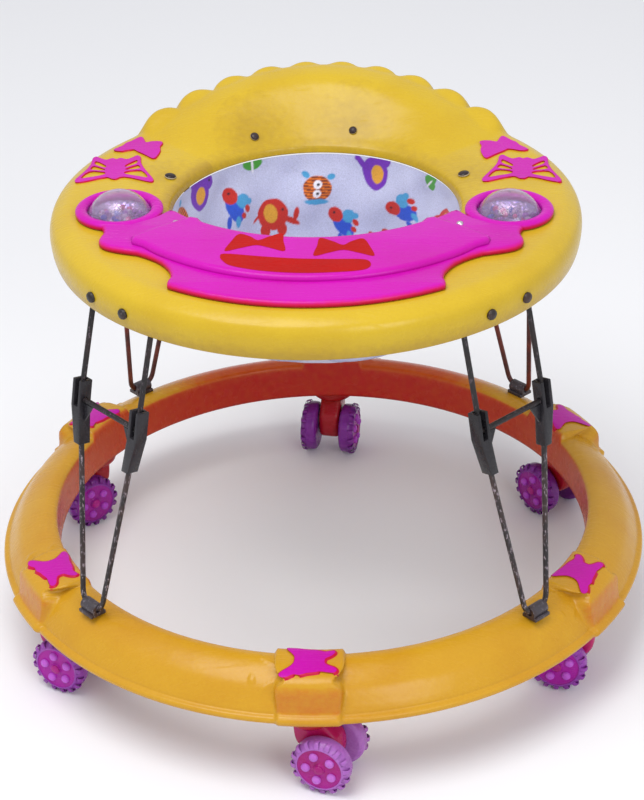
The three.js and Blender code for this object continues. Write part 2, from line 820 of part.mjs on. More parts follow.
function makeSling() {
  const azimuths = evenAngles(28);
  const outer = azimuths.map((azimuth) => slingLine(azimuth));
  const inner = outer.map((line) => offsetLine(line, -slingWall));
  const positions = [];
  const index = [];
  const count = outer[0].length;
  const put = (line, azimuth) =>
    line.forEach(([r, z]) =>
      positions.push(r * Math.cos(rad(azimuth)), r * Math.sin(rad(azimuth)), z + ringHeight),
    );
  outer.forEach((line, i) => put(line, azimuths[i]));
  inner.forEach((line, i) => put(line, azimuths[i]));
  const outerPole = positions.length / 3;
  positions.push(0, 0, slingBottom + ringHeight);
  positions.push(0, 0, slingBottom + slingWall + ringHeight);
  const shift = azimuths.length * count;
  azimuths.forEach((_, i) => {
    const next = (i + 1) % azimuths.length;
    for (let j = 0; j < count - 1; j += 1) {
      const [a, b, c, d] = [i * count + j, next * count + j, next * count + j + 1, i * count + j + 1];
      index.push(a, c, b, a, d, c);
      index.push(a + shift, b + shift, c + shift, a + shift, c + shift, d + shift);
    }
    const top = [i * count, next * count];
    index.push(top[0], top[1], top[1] + shift, top[0], top[1] + shift, top[0] + shift);
    const last = [i * count + count - 1, next * count + count - 1];
    index.push(last[0], outerPole, last[1]);
    index.push(last[0] + shift, last[1] + shift, outerPole + 1);
  });
  const geometry = new THREE.BufferGeometry();
  geometry.setAttribute("position", new THREE.Float32BufferAttribute(positions, 3));
  geometry.setIndex(index);
  const legHoles = [-1, 1].map((side) => {
    const hole = rod([legHoleRadius, 0, 0], [2 * seatOpening, 0, 0], legHoleRadius, 20);
    hole.rotateY(rad(12));
    hole.rotateZ(rad(-90 + side * legHoleTurn));
    hole.translate(0, 10, ringHeight + slingBottom + 62);
    return hole;
  });
  return cut(solid(geometry), ...legHoles);
}
addPiece(assembly, "seat_sling", makeSling(), colours.fabric, 0.9);

// ---- studs --------------------------------------------------------------------------------
for (const [place, azimuth] of studs) {
  const stud = join(
    studRod(azimuth, -studStand - 1.6, -studStand, studCap, 14),
    studRod(azimuth, -studStand - 1, wall + 4, studRadius, 12),
  );
  addPiece(assembly, "seat_stud_" + place, stud, colours.clip, 0.4, 0.6);
}

export default assembly;
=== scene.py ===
import json
import math
import random

import bmesh
import bpy
import numpy as np
from mathutils import Matrix, Vector
from mathutils.geometry import tessellate_polygon


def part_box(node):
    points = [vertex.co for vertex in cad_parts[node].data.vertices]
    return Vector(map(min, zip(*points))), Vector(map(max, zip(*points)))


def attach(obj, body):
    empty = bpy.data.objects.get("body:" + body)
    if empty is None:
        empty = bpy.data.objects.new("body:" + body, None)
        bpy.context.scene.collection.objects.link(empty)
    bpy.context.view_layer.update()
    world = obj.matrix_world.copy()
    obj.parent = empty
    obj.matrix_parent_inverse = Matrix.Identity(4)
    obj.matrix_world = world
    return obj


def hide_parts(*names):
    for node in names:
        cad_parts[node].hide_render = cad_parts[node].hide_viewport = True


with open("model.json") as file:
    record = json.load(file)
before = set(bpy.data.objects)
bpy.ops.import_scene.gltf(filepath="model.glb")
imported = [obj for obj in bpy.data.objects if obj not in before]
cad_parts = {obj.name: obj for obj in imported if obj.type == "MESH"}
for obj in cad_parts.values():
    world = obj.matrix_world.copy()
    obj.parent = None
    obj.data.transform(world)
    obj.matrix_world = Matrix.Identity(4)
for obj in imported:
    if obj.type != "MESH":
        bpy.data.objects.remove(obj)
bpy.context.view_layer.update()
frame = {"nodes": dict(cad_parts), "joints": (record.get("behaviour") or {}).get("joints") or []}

# ---- camera -------------------------------------------------------------------------------
# A long lens looks down at the front of the walker from chest height, a little from its right.
ring_low, ring_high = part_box("base_ring")
ring_foot = ring_low.z
middle_y = (ring_low.y + ring_high.y) / 2

camera = bpy.data.cameras.new("camera")
camera.lens = 99.0
camera.clip_start = 0.05
camera_object = bpy.data.objects.new("camera", camera)
camera_stand = Vector((0.0945, middle_y - 1.8034, ring_foot + 1.1909))
camera_turn = math.radians(2.94)
camera_drop = math.radians(30.12)
camera_roll = math.radians(-1.3)
camera_object.matrix_world = (
    Matrix.Translation(camera_stand)
    @ Matrix.Rotation(camera_turn, 4, "Z")
    @ Matrix.Rotation(math.pi / 2 - camera_drop, 4, "X")
    @ Matrix.Rotation(camera_roll, 4, "Z")
)
bpy.context.collection.objects.link(camera_object)
bpy.context.scene.camera = camera_object

# ---- room ---------------------------------------------------------------------------------
# Plain pale floor, an even pale room and two big soft lamps: one overhead, one before the tray.
bpy.context.scene.view_settings.view_transform = "Standard"
world = bpy.data.worlds.new("room")
world.use_nodes = True
world.node_tree.nodes["Background"].inputs["Color"].default_value = (0.95, 0.96, 1.0, 1)
world.node_tree.nodes["Background"].inputs["Strength"].default_value = 0.75
bpy.context.scene.world = world

bpy.ops.mesh.primitive_plane_add(size=12, location=(0, 0, 0))
floor = bpy.context.object
floor.name = "floor"
floor_paint = bpy.data.materials.new("floor_paint")
floor_paint.use_nodes = True
floor_paint.node_tree.nodes["Principled BSDF"].inputs["Base Color"].default_value = (0.86, 0.86, 0.87, 1)
floor_paint.node_tree.nodes["Principled BSDF"].inputs["Roughness"].default_value = 0.8
floor.data.materials.append(floor_paint)


def soft_lamp(name, place, aim, size, power):
    lamp = bpy.data.lights.new(name, "AREA")
    lamp.shape = "DISK"
    lamp.size = size
    lamp.energy = power
    lamp_object = bpy.data.objects.new(name, lamp)
    lamp_object.location = place
    lamp_object.rotation_euler = (Vector(aim) - Vector(place)).to_track_quat("-Z", "Y").to_euler()
    bpy.context.collection.objects.link(lamp_object)


soft_lamp("lamp_above", (-0.5, -0.7, 2.4), (0, 0, 0.3), 1.6, 34)
soft_lamp("lamp_front", (1.2, -2.2, 1.6), (0, 0, 0.3), 1.2, 16)

# ---- base ring ----------------------------------------------------------------------------
# One hollow moulding in orange-yellow plastic: a lip bead round the outside, a rounded top and
# an upright inner wall. Six butterfly-shaped bosses stand up over the caster sockets.
ring_outer = 310.0
ring_inner = 256.0
ring_wall = 3.0
boss_azimuths = [-90 + 60 * i for i in range(6)]


def spot(x, y, z):
    """A point in millimetres from the ring's centre and underside, in the row frame."""
    return Vector((x / 1000, middle_y + y / 1000, ring_foot + z / 1000))


def stretch(before, here, after, beyond, steps):
    """Points of a smooth curve from one point towards the next, led by their neighbours."""
    return [
        tuple(
            0.5 * (
                2 * b + (c - a) * t + (2 * a - 5 * b + 4 * c - d) * t * t
                + (3 * b - 3 * c + d - a) * t ** 3
            )
            for a, b, c, d in zip(before, here, after, beyond)
        )
        for t in (step / steps for step in range(steps))
    ]


def round_line(points, steps):
    """A smooth open line through the points."""
    last = len(points) - 1
    line = []
    for i in range(last):
        line += stretch(points[max(i - 1, 0)], points[i], points[i + 1], points[min(i + 2, last)], steps)
    return line + [tuple(points[-1])]


def set_in(line, distance):
    """The line moved sideways, to its left as it runs."""
    moved = []
    for i, point in enumerate(line):
        before = line[max(i - 1, 0)]
        after = line[min(i + 1, len(line) - 1)]
        dx, dz = after[0] - before[0], after[1] - before[1]
        length = math.hypot(dx, dz) or 1
        moved.append((point[0] - dz / length * distance, point[1] + dx / length * distance))
    return moved


def smooth_step(low, high, value):
    t = min(max((value - low) / (high - low), 0), 1)
    return t * t * (3 - 2 * t)


def add_mesh(name, points, faces, body, nodes=(), paint=None, smooth=True):
    """A piece in the row frame that rides on a body and stands for CAD nodes."""
    mesh = bpy.data.meshes.new(name)
    mesh.from_pydata([tuple(point) for point in points], [], faces)
    mesh.validate()
    mesh.update()
    for polygon in mesh.polygons:
        polygon.use_smooth = smooth
    piece = bpy.data.objects.new(name, mesh)
    bpy.context.collection.objects.link(piece)
    if paint:
        mesh.materials.append(paint)
    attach(piece, body)
    if nodes:
        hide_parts(*nodes)
    return piece


def ring_faces(rows, columns, closed_rows=True, closed_columns=True):
    """Quads of a grid whose rows run round the ring."""
    faces = []
    for i in range(rows if closed_rows else rows - 1):
        for j in range(columns if closed_columns else columns - 1):
            up, right = (i + 1) % rows, (j + 1) % columns
            faces.append((i * columns + j, up * columns + j, up * columns + right, i * columns + right))
    return faces


def colour(red, green, blue):
    """Linear colour of a paint given as 0 to 255."""
    return tuple(((v / 255 + 0.055) / 1.055) ** 2.4 if v > 10 else v / 255 / 12.92
                 for v in (red, green, blue)) + (1.0,)


def add_node(tree, kind, inputs=None, **settings):
    """A shader node with its settings, and values or links put into its sockets."""
    node = tree.nodes.new(kind)
    for name, value in settings.items():
        setattr(node, name, value)
    for key, value in (inputs or {}).items():
        if isinstance(value, bpy.types.NodeSocket):
            tree.links.new(value, node.inputs[key])
        else:
            node.inputs[key].default_value = value
    return node


def group_with(name, inputs, outputs):
    """An empty node group with its sockets, and its input and output nodes."""
    group = bpy.data.node_groups.new(name, "ShaderNodeTree")
    for title, kind in inputs:
        group.interface.new_socket(title, in_out="INPUT", socket_type=kind)
    for title, kind in outputs:
        group.interface.new_socket(title, in_out="OUTPUT", socket_type=kind)
    return group, group.nodes.new("NodeGroupInput"), group.nodes.new("NodeGroupOutput")


def noise(tree, at, scale, detail=2.0, roughness=0.5):
    """A cloudy pattern with the given grain."""
    inputs = {"Scale": scale, "Detail": detail, "Roughness": roughness}
    if at is not None:
        inputs["Vector"] = at
    return add_node(tree, "ShaderNodeTexNoise", inputs).outputs["Fac"]


def remapped(tree, value, low=0.0, high=1.0, to_low=0.0, to_high=1.0):
    """The value with its range from low to high laid onto another range."""
    inputs = {"Value": value, "From Min": low, "From Max": high, "To Min": to_low, "To Max": to_high}
    return add_node(tree, "ShaderNodeMapRange", inputs).outputs[0]


def reckoned(tree, operation, *values, use_clamp=False):
    """A sum, product or other reckoning of up to three values."""
    settings = {"operation": operation, "use_clamp": use_clamp}
    return add_node(tree, "ShaderNodeMath", dict(enumerate(values)), **settings).outputs[0]


def mixed(tree, share, first, second):
    """Two colours mixed, with the given share of the second."""
    mix = add_node(tree, "ShaderNodeMix", {"Factor": share}, data_type="RGBA")
    sockets = [socket for socket in mix.inputs if socket.type == "RGBA"]
    for socket, tone in zip(sockets, (first, second)):
        if isinstance(tone, bpy.types.NodeSocket):
            tree.links.new(tone, socket)
        else:
            socket.default_value = tone
    return next(socket for socket in mix.outputs if socket.type == "RGBA")


def dented(tree, height, strength, distance, under=None):
    """Surface relief from a height pattern, over another relief if there is one."""
    inputs = {"Strength": strength, "Distance": distance, "Height": height}
    if under is not None:
        inputs["Normal"] = under
    return add_node(tree, "ShaderNodeBump", inputs).outputs[0]


def two_tones(tree, share, dark, light):
    """A colour that runs from dark to light with the share."""
    ramp = add_node(tree, "ShaderNodeValToRGB", {"Fac": share})
    ramp.color_ramp.elements[0].color = dark
    ramp.color_ramp.elements[1].color = light
    return ramp.outputs["Color"]


def object_place(tree):
    return add_node(tree, "ShaderNodeTexCoord").outputs["Object"]


def new_finish(name, **constants):
    """A material and its node tree, with fixed values on its shader (words joined by _)."""
    paint = bpy.data.materials.new(name)
    paint.use_nodes = True
    shader = paint.node_tree.nodes["Principled BSDF"]
    for title, value in constants.items():
        shader.inputs[title.replace("_", " ")].default_value = value
    return paint, paint.node_tree


def onto_shader(tree, **sockets):
    """Links what varies over the surface to the material's shader."""
    shader = tree.nodes["Principled BSDF"]
    for title, socket in sockets.items():
        tree.links.new(socket, shader.inputs[title.replace("_", " ")])


# Moulded plastic: cloudy pigment, fine orange peel, small scuffs that dull the gloss.
skin_group, skin_in, skin_out = group_with(
    "moulded_skin",
    [("Colour", "NodeSocketColor"), ("Shade", "NodeSocketColor"), ("Wear", "NodeSocketFloat")],
    [("Colour", "NodeSocketColor"), ("Roughness", "NodeSocketFloat"), ("Normal", "NodeSocketVector")],
)
skin_at = object_place(skin_group)
clouds = remapped(skin_group, noise(skin_group, skin_at, 11.0, 4.0), 0.42, 0.78, 0.0, 0.7)
specks = remapped(skin_group, noise(skin_group, skin_at, 420.0), 0.35, 0.75, 0.0, 0.22)
shade_share = reckoned(skin_group, "ADD", clouds, specks, use_clamp=True)
pigment = mixed(skin_group, shade_share, skin_in.outputs["Colour"], skin_in.outputs["Shade"])
scuff_stretch = add_node(skin_group, "ShaderNodeMapping", {"Vector": skin_at, "Scale": (30, 210, 90)})
scuffs = remapped(skin_group, noise(skin_group, scuff_stretch.outputs[0], 1.0, 5.0, 0.7), 0.56, 0.72)
scuff_wear = reckoned(skin_group, "MULTIPLY", scuffs, skin_in.outputs["Wear"])
gloss = reckoned(skin_group, "MULTIPLY_ADD", scuff_wear, 0.35, 0.27)
peel_relief = dented(skin_group, noise(skin_group, skin_at, 260.0), 0.16, 0.0006)
wave_relief = dented(skin_group, noise(skin_group, skin_at, 34.0), 0.3, 0.002, peel_relief)
skin_group.links.new(pigment, skin_out.inputs["Colour"])
skin_group.links.new(gloss, skin_out.inputs["Roughness"])
skin_group.links.new(wave_relief, skin_out.inputs["Normal"])


def moulded(name, base, shade, wear=0.6, shade_tint=None, shine=0.3):
    """Paint of moulded plastic. A shade tint is a mask attribute and the two colours it brings in: painted
    shade, and on the tray also darkening round the studs.
    """
    paint, tree = new_finish(name, Specular_IOR_Level=shine)
    skin = add_node(tree, "ShaderNodeGroup", node_tree=skin_group)
    for title, value in (("Colour", base), ("Shade", shade), ("Wear", wear)):
        skin.inputs[title].default_value = value
    tone = skin.outputs["Colour"]
    if shade_tint:
        mask_name, middle, end = shade_tint
        mask = add_node(tree, "ShaderNodeAttribute", attribute_name=mask_name).outputs["Fac"]
        ragged = reckoned(tree, "MULTIPLY_ADD", noise(tree, object_place(tree), 160.0, 3.0), 0.35, -0.17)
        share = reckoned(tree, "ADD", mask, ragged)
        share = reckoned(
            tree, "MULTIPLY", share, reckoned(tree, "GREATER_THAN", mask, 0.02), use_clamp=True,
        )
        tone = mixed(tree, remapped(tree, share, 0.0, 0.5), tone, middle)
        tone = mixed(tree, remapped(tree, share, 0.5, 1.0), tone, end)
    onto_shader(tree, Base_Color=tone, Roughness=skin.outputs["Roughness"], Normal=skin.outputs["Normal"])
    return paint


def paint_mask(piece, name, values):
    """A value at every point of a piece, for a paint to read."""
    mask = piece.data.attributes.new(name, "FLOAT", "POINT")
    mask.data.foreach_set("value", values)


ring_skin = round_line([
    (ring_outer, 0), (ring_outer + 0.6, 2.6), (ring_outer - 0.6, 5.0), (ring_outer - 4.2, 6.6),
    (ring_outer - 5.4, 9), (ring_outer - 9, 15), (ring_outer - 17, 26), (ring_outer - 29, 34.5),
    (ring_inner + 13, 39), (ring_inner + 5.6, 38.3), (ring_inner + 1.8, 35.8), (ring_inner + 0.5, 31),
    (ring_inner, 20), (ring_inner, 0),
], 5)
boss_skin = round_line([
    (ring_outer + 2.6, 0), (ring_outer + 4.2, 2.8), (ring_outer + 3.8, 5.6), (ring_outer + 1.2, 8.0),
    (ring_outer - 2.0, 10), (ring_outer - 3.6, 17), (ring_outer - 5.8, 31.0), (ring_outer - 10.5, 38.0),
    (ring_inner + 32, 42.0), (ring_inner + 16, 44.0), (ring_inner + 5.0, 43.6), (ring_inner + 0.8, 38),
    (ring_inner, 20), (ring_inner, 0),
], 5)
ring_slope = set_in(ring_skin, -1)


def boss_half_width(radius):
    """Half the width of a boss along the ring: wide at both pairs of wings, narrow at the waist."""
    waist = math.exp(-(((radius - 281) / 8) ** 2))
    return 30 - 8 * waist - 2 * smooth_step(292, 306, radius)


def boss_share(azimuth, radius):
    """1 on a boss, 0 beside it."""
    turn = min(abs((azimuth - angle + 180) % 360 - 180) for angle in boss_azimuths)
    return 1 - smooth_step(-2.2, 2.0, math.radians(turn) * radius - boss_half_width(radius))


def antenna_share(azimuth, radius):
    """The raised feelers beside the head of each butterfly, and the round nub between them."""
    share = 0
    for angle in boss_azimuths:
        turn = (azimuth - angle + 180) % 360 - 180
        along = -math.radians(turn) * radius
        if 12 < along < 52:
            feeler = 3 + 0.012 * (along - 12) ** 2
            for side in (-1, 1):
                share = max(share, 1 - smooth_step(0.9, 2.0, abs(radius - 282 - side * feeler)))
            share *= smooth_step(12, 18, along) * (1 - smooth_step(40, 48, along))
        share = max(share, 1 - smooth_step(2.0, 4.0, math.hypot(along - 50, radius - 289)))
    return share


ring_azimuths = []
for angle in boss_azimuths:
    ring_azimuths += [angle - 11 + 0.25 * i for i in range(76)]
    ring_azimuths += [angle + 8 + 1.6 * i for i in range(26)]
ring_points = []
ring_shade_tint = []
inside = set_in(ring_skin, ring_wall)
inside[0] = (inside[0][0], 0)
inside[-1] = (inside[-1][0], 0)
for azimuth in ring_azimuths:
    a = math.radians(azimuth)
    rear = max(0.0, math.sin(a))
    row = []
    for (r, z), (r_out, z_out), (r_boss, z_boss) in zip(ring_skin, ring_slope, boss_skin):
        on_boss = boss_share(azimuth, r)
        lift = 1.1 * antenna_share(azimuth, r) * (1 - on_boss) * (1 if z > 22 and r > 262 else 0)
        row.append((
            r + (r_out - r) * lift + (r_boss - r) * on_boss,
            z + (z_out - z) * lift + (z_boss - z) * on_boss,
        ))
        # Painted shade: the inner wall turns deep red, most at the rear. The lower walls of the bosses and
        # the rear top of the ring turn orange.
        inner_wall = smooth_step(2.0, 0.4, r - ring_inner) if r < ring_inner + 2 else 0
        under = on_boss * (1 - smooth_step(24, 31, z)) * smooth_step(7, 10, z) * (1 if r > 285 else 0)
        inner_boss_shade = on_boss * (1 - smooth_step(24, 34, z)) if r < 262 else 0
        rear_top_shade = 0.62 * smooth_step(0.72, 0.93, rear) * (1 if z > 8 else 0.4)
        wall_shade = 0.95 * inner_wall * (0.55 + 0.45 * rear)
        ring_shade_tint.append(max(wall_shade, 0.2 * under, 0.3 * inner_boss_shade, rear_top_shade))
    row += [(r, z) for r, z in reversed(inside)]
    ring_shade_tint += [0.5] * len(inside)
    ring_points += [spot(r * math.cos(a), r * math.sin(a), z) for r, z in row]
ring_columns = 2 * len(ring_skin)
# The shade tint brings in orange and deep red as painted shade.
ring_paint = moulded(
    "ring_plastic", colour(200, 150, 34), colour(184, 124, 22), 0.8,
    ("shade_tint", colour(190, 84, 20), colour(176, 20, 10)),
)
ring_piece = add_mesh(
    "ring_moulding", ring_points, ring_faces(len(ring_azimuths), ring_columns), "base",
    ["base_ring"], ring_paint,
)
paint_mask(ring_piece, "shade_tint", ring_shade_tint)

# ---- butterfly inlays on the ring ---------------------------------------------------------
# Thin magenta mouldings pressed onto the bosses, one to each, with wings in and out and the
# head along the ring. Their edges are rounded over and painted redder than their faces, as painted shade.
butterfly = [
    (13.2, 0.0), (14.2, 3.4), (19.4, 6.6), (22.8, 10.4), (22.0, 13.4), (18.0, 13.2), (13.6, 12.4),
    (10.2, 13.6),
    (5.2, 15.0), (-1.0, 15.6), (-6.0, 16.6), (-12.4, 18.4), (-18.0, 19.0), (-20.8, 17.6), (-20.4, 14.8),
    (-16.6, 10.6), (-13.4, 6.2), (-12.8, 2.0), (-13.2, -2.2), (-16.0, -6.8), (-21.6, -12.0), (-24.4, -16.0),
    (-22.0, -18.4), (-17.4, -17.8), (-12.6, -15.2), (-7.0, -15.4), (-1.8, -13.6), (4.6, -12.6), (9.8, -11.8),
    (15.2, -12.8), (20.6, -13.4), (23.0, -11.4), (21.6, -8.2), (16.6, -5.4), (13.6, -2.8),
]
butterfly.reverse()


def closed_line(points, steps):
    """A smooth closed line through the points."""
    count = len(points)
    line = []
    for i in range(count):
        line += stretch(*(points[(i + k) % count] for k in (-1, 0, 1, 2)), steps)
    return line


def flat_sheet(outline, holes=(), pitch=3.0):
    """Triangles that fill an outline with holes, none longer than about the pitch."""
    from_curve = bpy.data.curves.new("outline", "CURVE")
    from_curve.dimensions = "2D"
    from_curve.fill_mode = "BOTH"
    for line in [outline, *holes]:
        spline = from_curve.splines.new("POLY")
        spline.points.add(len(line) - 1)
        for point, (x, y) in zip(spline.points, line):
            point.co = (x, y, 0, 1)
        spline.use_cyclic_u = True
    holder = bpy.data.objects.new("outline", from_curve)
    bpy.context.collection.objects.link(holder)
    filled = bpy.data.meshes.new_from_object(holder)
    bpy.data.objects.remove(holder)
    work = bmesh.new()
    work.from_mesh(filled)
    bmesh.ops.remove_doubles(work, verts=work.verts, dist=1e-4)
    for _ in range(5):
        long_edges = [e for e in work.edges if e.calc_length() > pitch and not e.is_boundary]
        if not long_edges:
            break
        bmesh.ops.subdivide_edges(work, edges=long_edges, cuts=1)
        bmesh.ops.triangulate(work, faces=work.faces)
    work.verts.ensure_lookup_table()
    for face in work.faces:
        if face.normal.z < 0:
            face.normal_flip()
    return work


def face_outward(piece):
    """Turns all the faces of a piece outward."""
    work = bmesh.new()
    work.from_mesh(piece.data)
    bmesh.ops.recalc_face_normals(work, faces=work.faces)
    work.to_mesh(piece.data)
    work.free()


def add_inlay(name, outline, surface, lift, body, paint, edge_shade_paint, holes=(), nodes=(), rim_share=0.5):
    """A thin moulding on a curved surface. The surface turns (x, y, height) into a point."""
    work = flat_sheet(outline, holes)
    rim = [e for e in work.edges if e.is_boundary]
    steps = [(0.35, 0.0), (0.75, -0.35), (0.9, -lift - 1.2)]
    height = {v: lift for v in work.verts}
    for out, drop in steps:
        made = bmesh.ops.extrude_edge_only(work, edges=rim)["geom"]
        moved = {g for g in made if isinstance(g, bmesh.types.BMVert)}
        rim = [g for g in made if isinstance(g, bmesh.types.BMEdge) and g.is_boundary
               and g.verts[0] in moved and g.verts[1] in moved]
        for face in [g for g in made if isinstance(g, bmesh.types.BMFace)]:
            face.material_index = 1
        pushes = {}
        for v in moved:
            ends = [e.other_vert(v) for e in v.link_edges if e.other_vert(v) in moved]
            if len(ends) < 2:
                continue
            run = (ends[0].co - ends[1].co)
            side = Vector((run.y, -run.x, 0))
            side = side.normalized() if side.length > 1e-9 else Vector()
            back = [e.other_vert(v) for e in v.link_edges if e.other_vert(v) not in moved]
            probe = Vector()
            for other in back:
                for f in other.link_faces:
                    if f.material_index == 0:
                        probe += f.calc_center_median() - other.co
            if probe.length > 1e-9 and side.dot(probe) > 0:
                side = -side
            pushes[v] = side
        for v, side in pushes.items():
            v.co += side * (out * rim_share)
        for v in moved:
            height[v] = lift + drop
    points = [surface(v.co.x, v.co.y, height[v]) for v in work.verts]
    work.verts.index_update()
    faces = [[v.index for v in f.verts] for f in work.faces]
    slots = [f.material_index for f in work.faces]
    piece = add_mesh(name, points, faces, body, nodes, paint)
    piece.data.materials.append(edge_shade_paint)
    for polygon, index in zip(piece.data.polygons, slots):
        polygon.material_index = index
    work.free()
    face_outward(piece)
    return piece


magenta_paint = moulded("magenta_plastic", colour(190, 18, 164), colour(176, 14, 138), 0.5, shine=0.16)
# Painted shade: the rounded edges of the inlays get this redder magenta.
shaded_edge_paint = moulded("magenta_edge_shade", colour(190, 20, 62), colour(170, 12, 30), 0.4, shine=0.16)


def on_ring(angle):
    """Lays (outward, along) millimetres onto the top of the boss at an angle."""
    def surface(u, v, height):
        radius = 278.5 - v
        azimuth = math.radians(angle) + u / 278
        i = next(i for i in range(34, len(boss_skin)) if boss_skin[i + 1][0] <= radius)
        (r0, z0), (r1, z1) = boss_skin[i], boss_skin[i + 1]
        z = z0 + (z1 - z0) * min(max((r0 - radius) / (r0 - r1), 0), 1)
        return spot(radius * math.cos(azimuth), radius * math.sin(azimuth), z + height)
    return surface


for number, angle in enumerate(boss_azimuths):
    shape = closed_line(butterfly, 3)
    add_inlay(
        f"ring_butterfly_{number + 1}", shape, on_ring(angle), 1.3, "base",
        magenta_paint, shaded_edge_paint, rim_share=1.5,
    )

# ---- tray shell ---------------------------------------------------------------------------
# A lemon-yellow moulded shell: a rounded skirt and deck, and a raised backrest at the rear whose
# outer edge runs in ten rounded lobes. The wall dishes down to the lip of the seat opening.
tray_outer = 236.0
skirt_bottom = 318.0
deck = 355.0
lip_height = 345.0
crown_raise = 44.0
crown_half_turn = 51.0
seat_radius = 130.0
front_arc = 160.0
front_arc_centre = 61.0
lobe_count = 10
lobe_spacing = 9.9


def crown_at(azimuth):
    turn = abs((azimuth - 90 + 180) % 360 - 180) / crown_half_turn
    return max(0.0, 1 - turn * turn)


def opening_at(azimuth):
    a = math.radians(azimuth)
    along = front_arc_centre * math.sin(a)
    across = front_arc_centre * math.cos(a)
    return min(seat_radius, along + math.sqrt(front_arc ** 2 - across ** 2))


def lobe_at(azimuth):
    turn = (azimuth - 90 + 180) % 360 - 180
    share = turn / lobe_spacing + lobe_count / 2
    return 9.0 * abs(math.sin(math.pi * share)) ** 0.65 if 0 < share < lobe_count else 0.0


def tray_skin(azimuth):
    crown = crown_at(azimuth)
    rise = crown_raise * crown
    lobe = lobe_at(azimuth)
    opening = opening_at(azimuth)
    return round_line([
        (tray_outer + 0.5, skirt_bottom), (tray_outer + 1.4, skirt_bottom + 1.6),
        (tray_outer + 3, skirt_bottom + 9), (tray_outer + 3.5, skirt_bottom + 20),
        (tray_outer + 0.5 - 2 * crown, skirt_bottom + 29 + 0.25 * rise),
        (tray_outer - 6 - 6 * crown + 0.55 * lobe, deck - 3 + 0.55 * rise + 0.6 * lobe),
        (tray_outer - 14 - 9 * crown + 0.75 * lobe, deck + 0.82 * rise + 0.8 * lobe),
        (tray_outer - 25, deck + 0.99 * rise), (tray_outer - 36, deck + rise),
        (tray_outer - 54, deck + 0.9 * rise), (opening + 30, deck - 1 + 0.48 * rise),
        (opening + 13, deck - 3.5 + 0.12 * rise), (opening + 4.5, lip_height + 4.6),
        (opening + 1.4, lip_height + 1.6), (opening, lip_height - 4),
    ], 4)


def tray_top(x, y, height=0.0):
    """A point on the tray's upper skin over (x, y)."""
    radius = math.hypot(x, y)
    skin = tray_skin(math.degrees(math.atan2(y, x)))
    for (r0, z0), (r1, z1) in zip(skin[24:], skin[25:]):
        if r1 <= radius <= r0:
            return spot(x, y, z0 + (z1 - z0) * (r0 - radius) / max(r0 - r1, 1e-6) + height)
    return spot(x, y, deck + height)


dome_places = {"left": (-173.0, -35.0), "right": (173.0, -35.0)}
tray_azimuths = [90 - 51 + 0.55 * i for i in range(186)] + [90 + 51.5 + 1.5 * i for i in range(172)]
tray_points = []
tray_shade_and_darkening = []
stud_azimuths = {"rear_left": 116, "rear_right": 78, "side_left": 160, "side_right": 22}
for azimuth in tray_azimuths:
    a = math.radians(azimuth)
    skin = tray_skin(azimuth)
    lining = set_in(skin, 3.0)
    row = skin + list(reversed(lining))
    opening = opening_at(azimuth)
    for r, z in row:
        tray_points.append(spot(r * math.cos(a), r * math.sin(a), z))
        # Darker round the studs. Painted shade at the lip of the opening, strongest on the left, and along
        # the foot of the skirt.
        darkening = 0.0
        for stud in stud_azimuths.values():
            away = math.hypot(math.radians((azimuth - stud + 180) % 360 - 180) * r, r - opening - 18)
            darkening = max(darkening, 0.20 * math.exp(-((away / 26) ** 2)))
        lip = math.exp(-(((r - opening - 4) / 7) ** 2)) * (0.34 if 140 < azimuth % 360 < 200 else 0.12)
        under = 0.25 * (1 - smooth_step(skirt_bottom, skirt_bottom + 16, z))
        tray_shade_and_darkening.append(max(darkening, lip, under))
# The darkening brings in darker yellows: painted shade at the lip and the skirt's foot, and darker round the
# studs.
tray_paint = moulded(
    "tray_plastic", colour(200, 168, 38), colour(184, 148, 30), 0.8,
    ("darkening", colour(158, 126, 44), colour(118, 90, 36)),
)
tray_piece = add_mesh(
    "tray_moulding", tray_points, ring_faces(len(tray_azimuths), 2 * len(skin)), "tray",
    ["tray_shell"], tray_paint,
)
paint_mask(tray_piece, "darkening", tray_shade_and_darkening)
for side, (x, y) in dome_places.items():
    bpy.ops.mesh.primitive_cylinder_add(vertices=64, radius=0.0296, depth=0.05, location=spot(x, y, deck))
    cutter = bpy.context.object
    cut = tray_piece.modifiers.new("well", "BOOLEAN")
    cut.operation = "DIFFERENCE"
    cut.object = cutter
    bpy.context.view_layer.update()
    shaped = bpy.data.meshes.new_from_object(tray_piece.evaluated_get(bpy.context.evaluated_depsgraph_get()))
    tray_piece.modifiers.clear()
    tray_piece.data = shaped
    bpy.data.objects.remove(cutter)

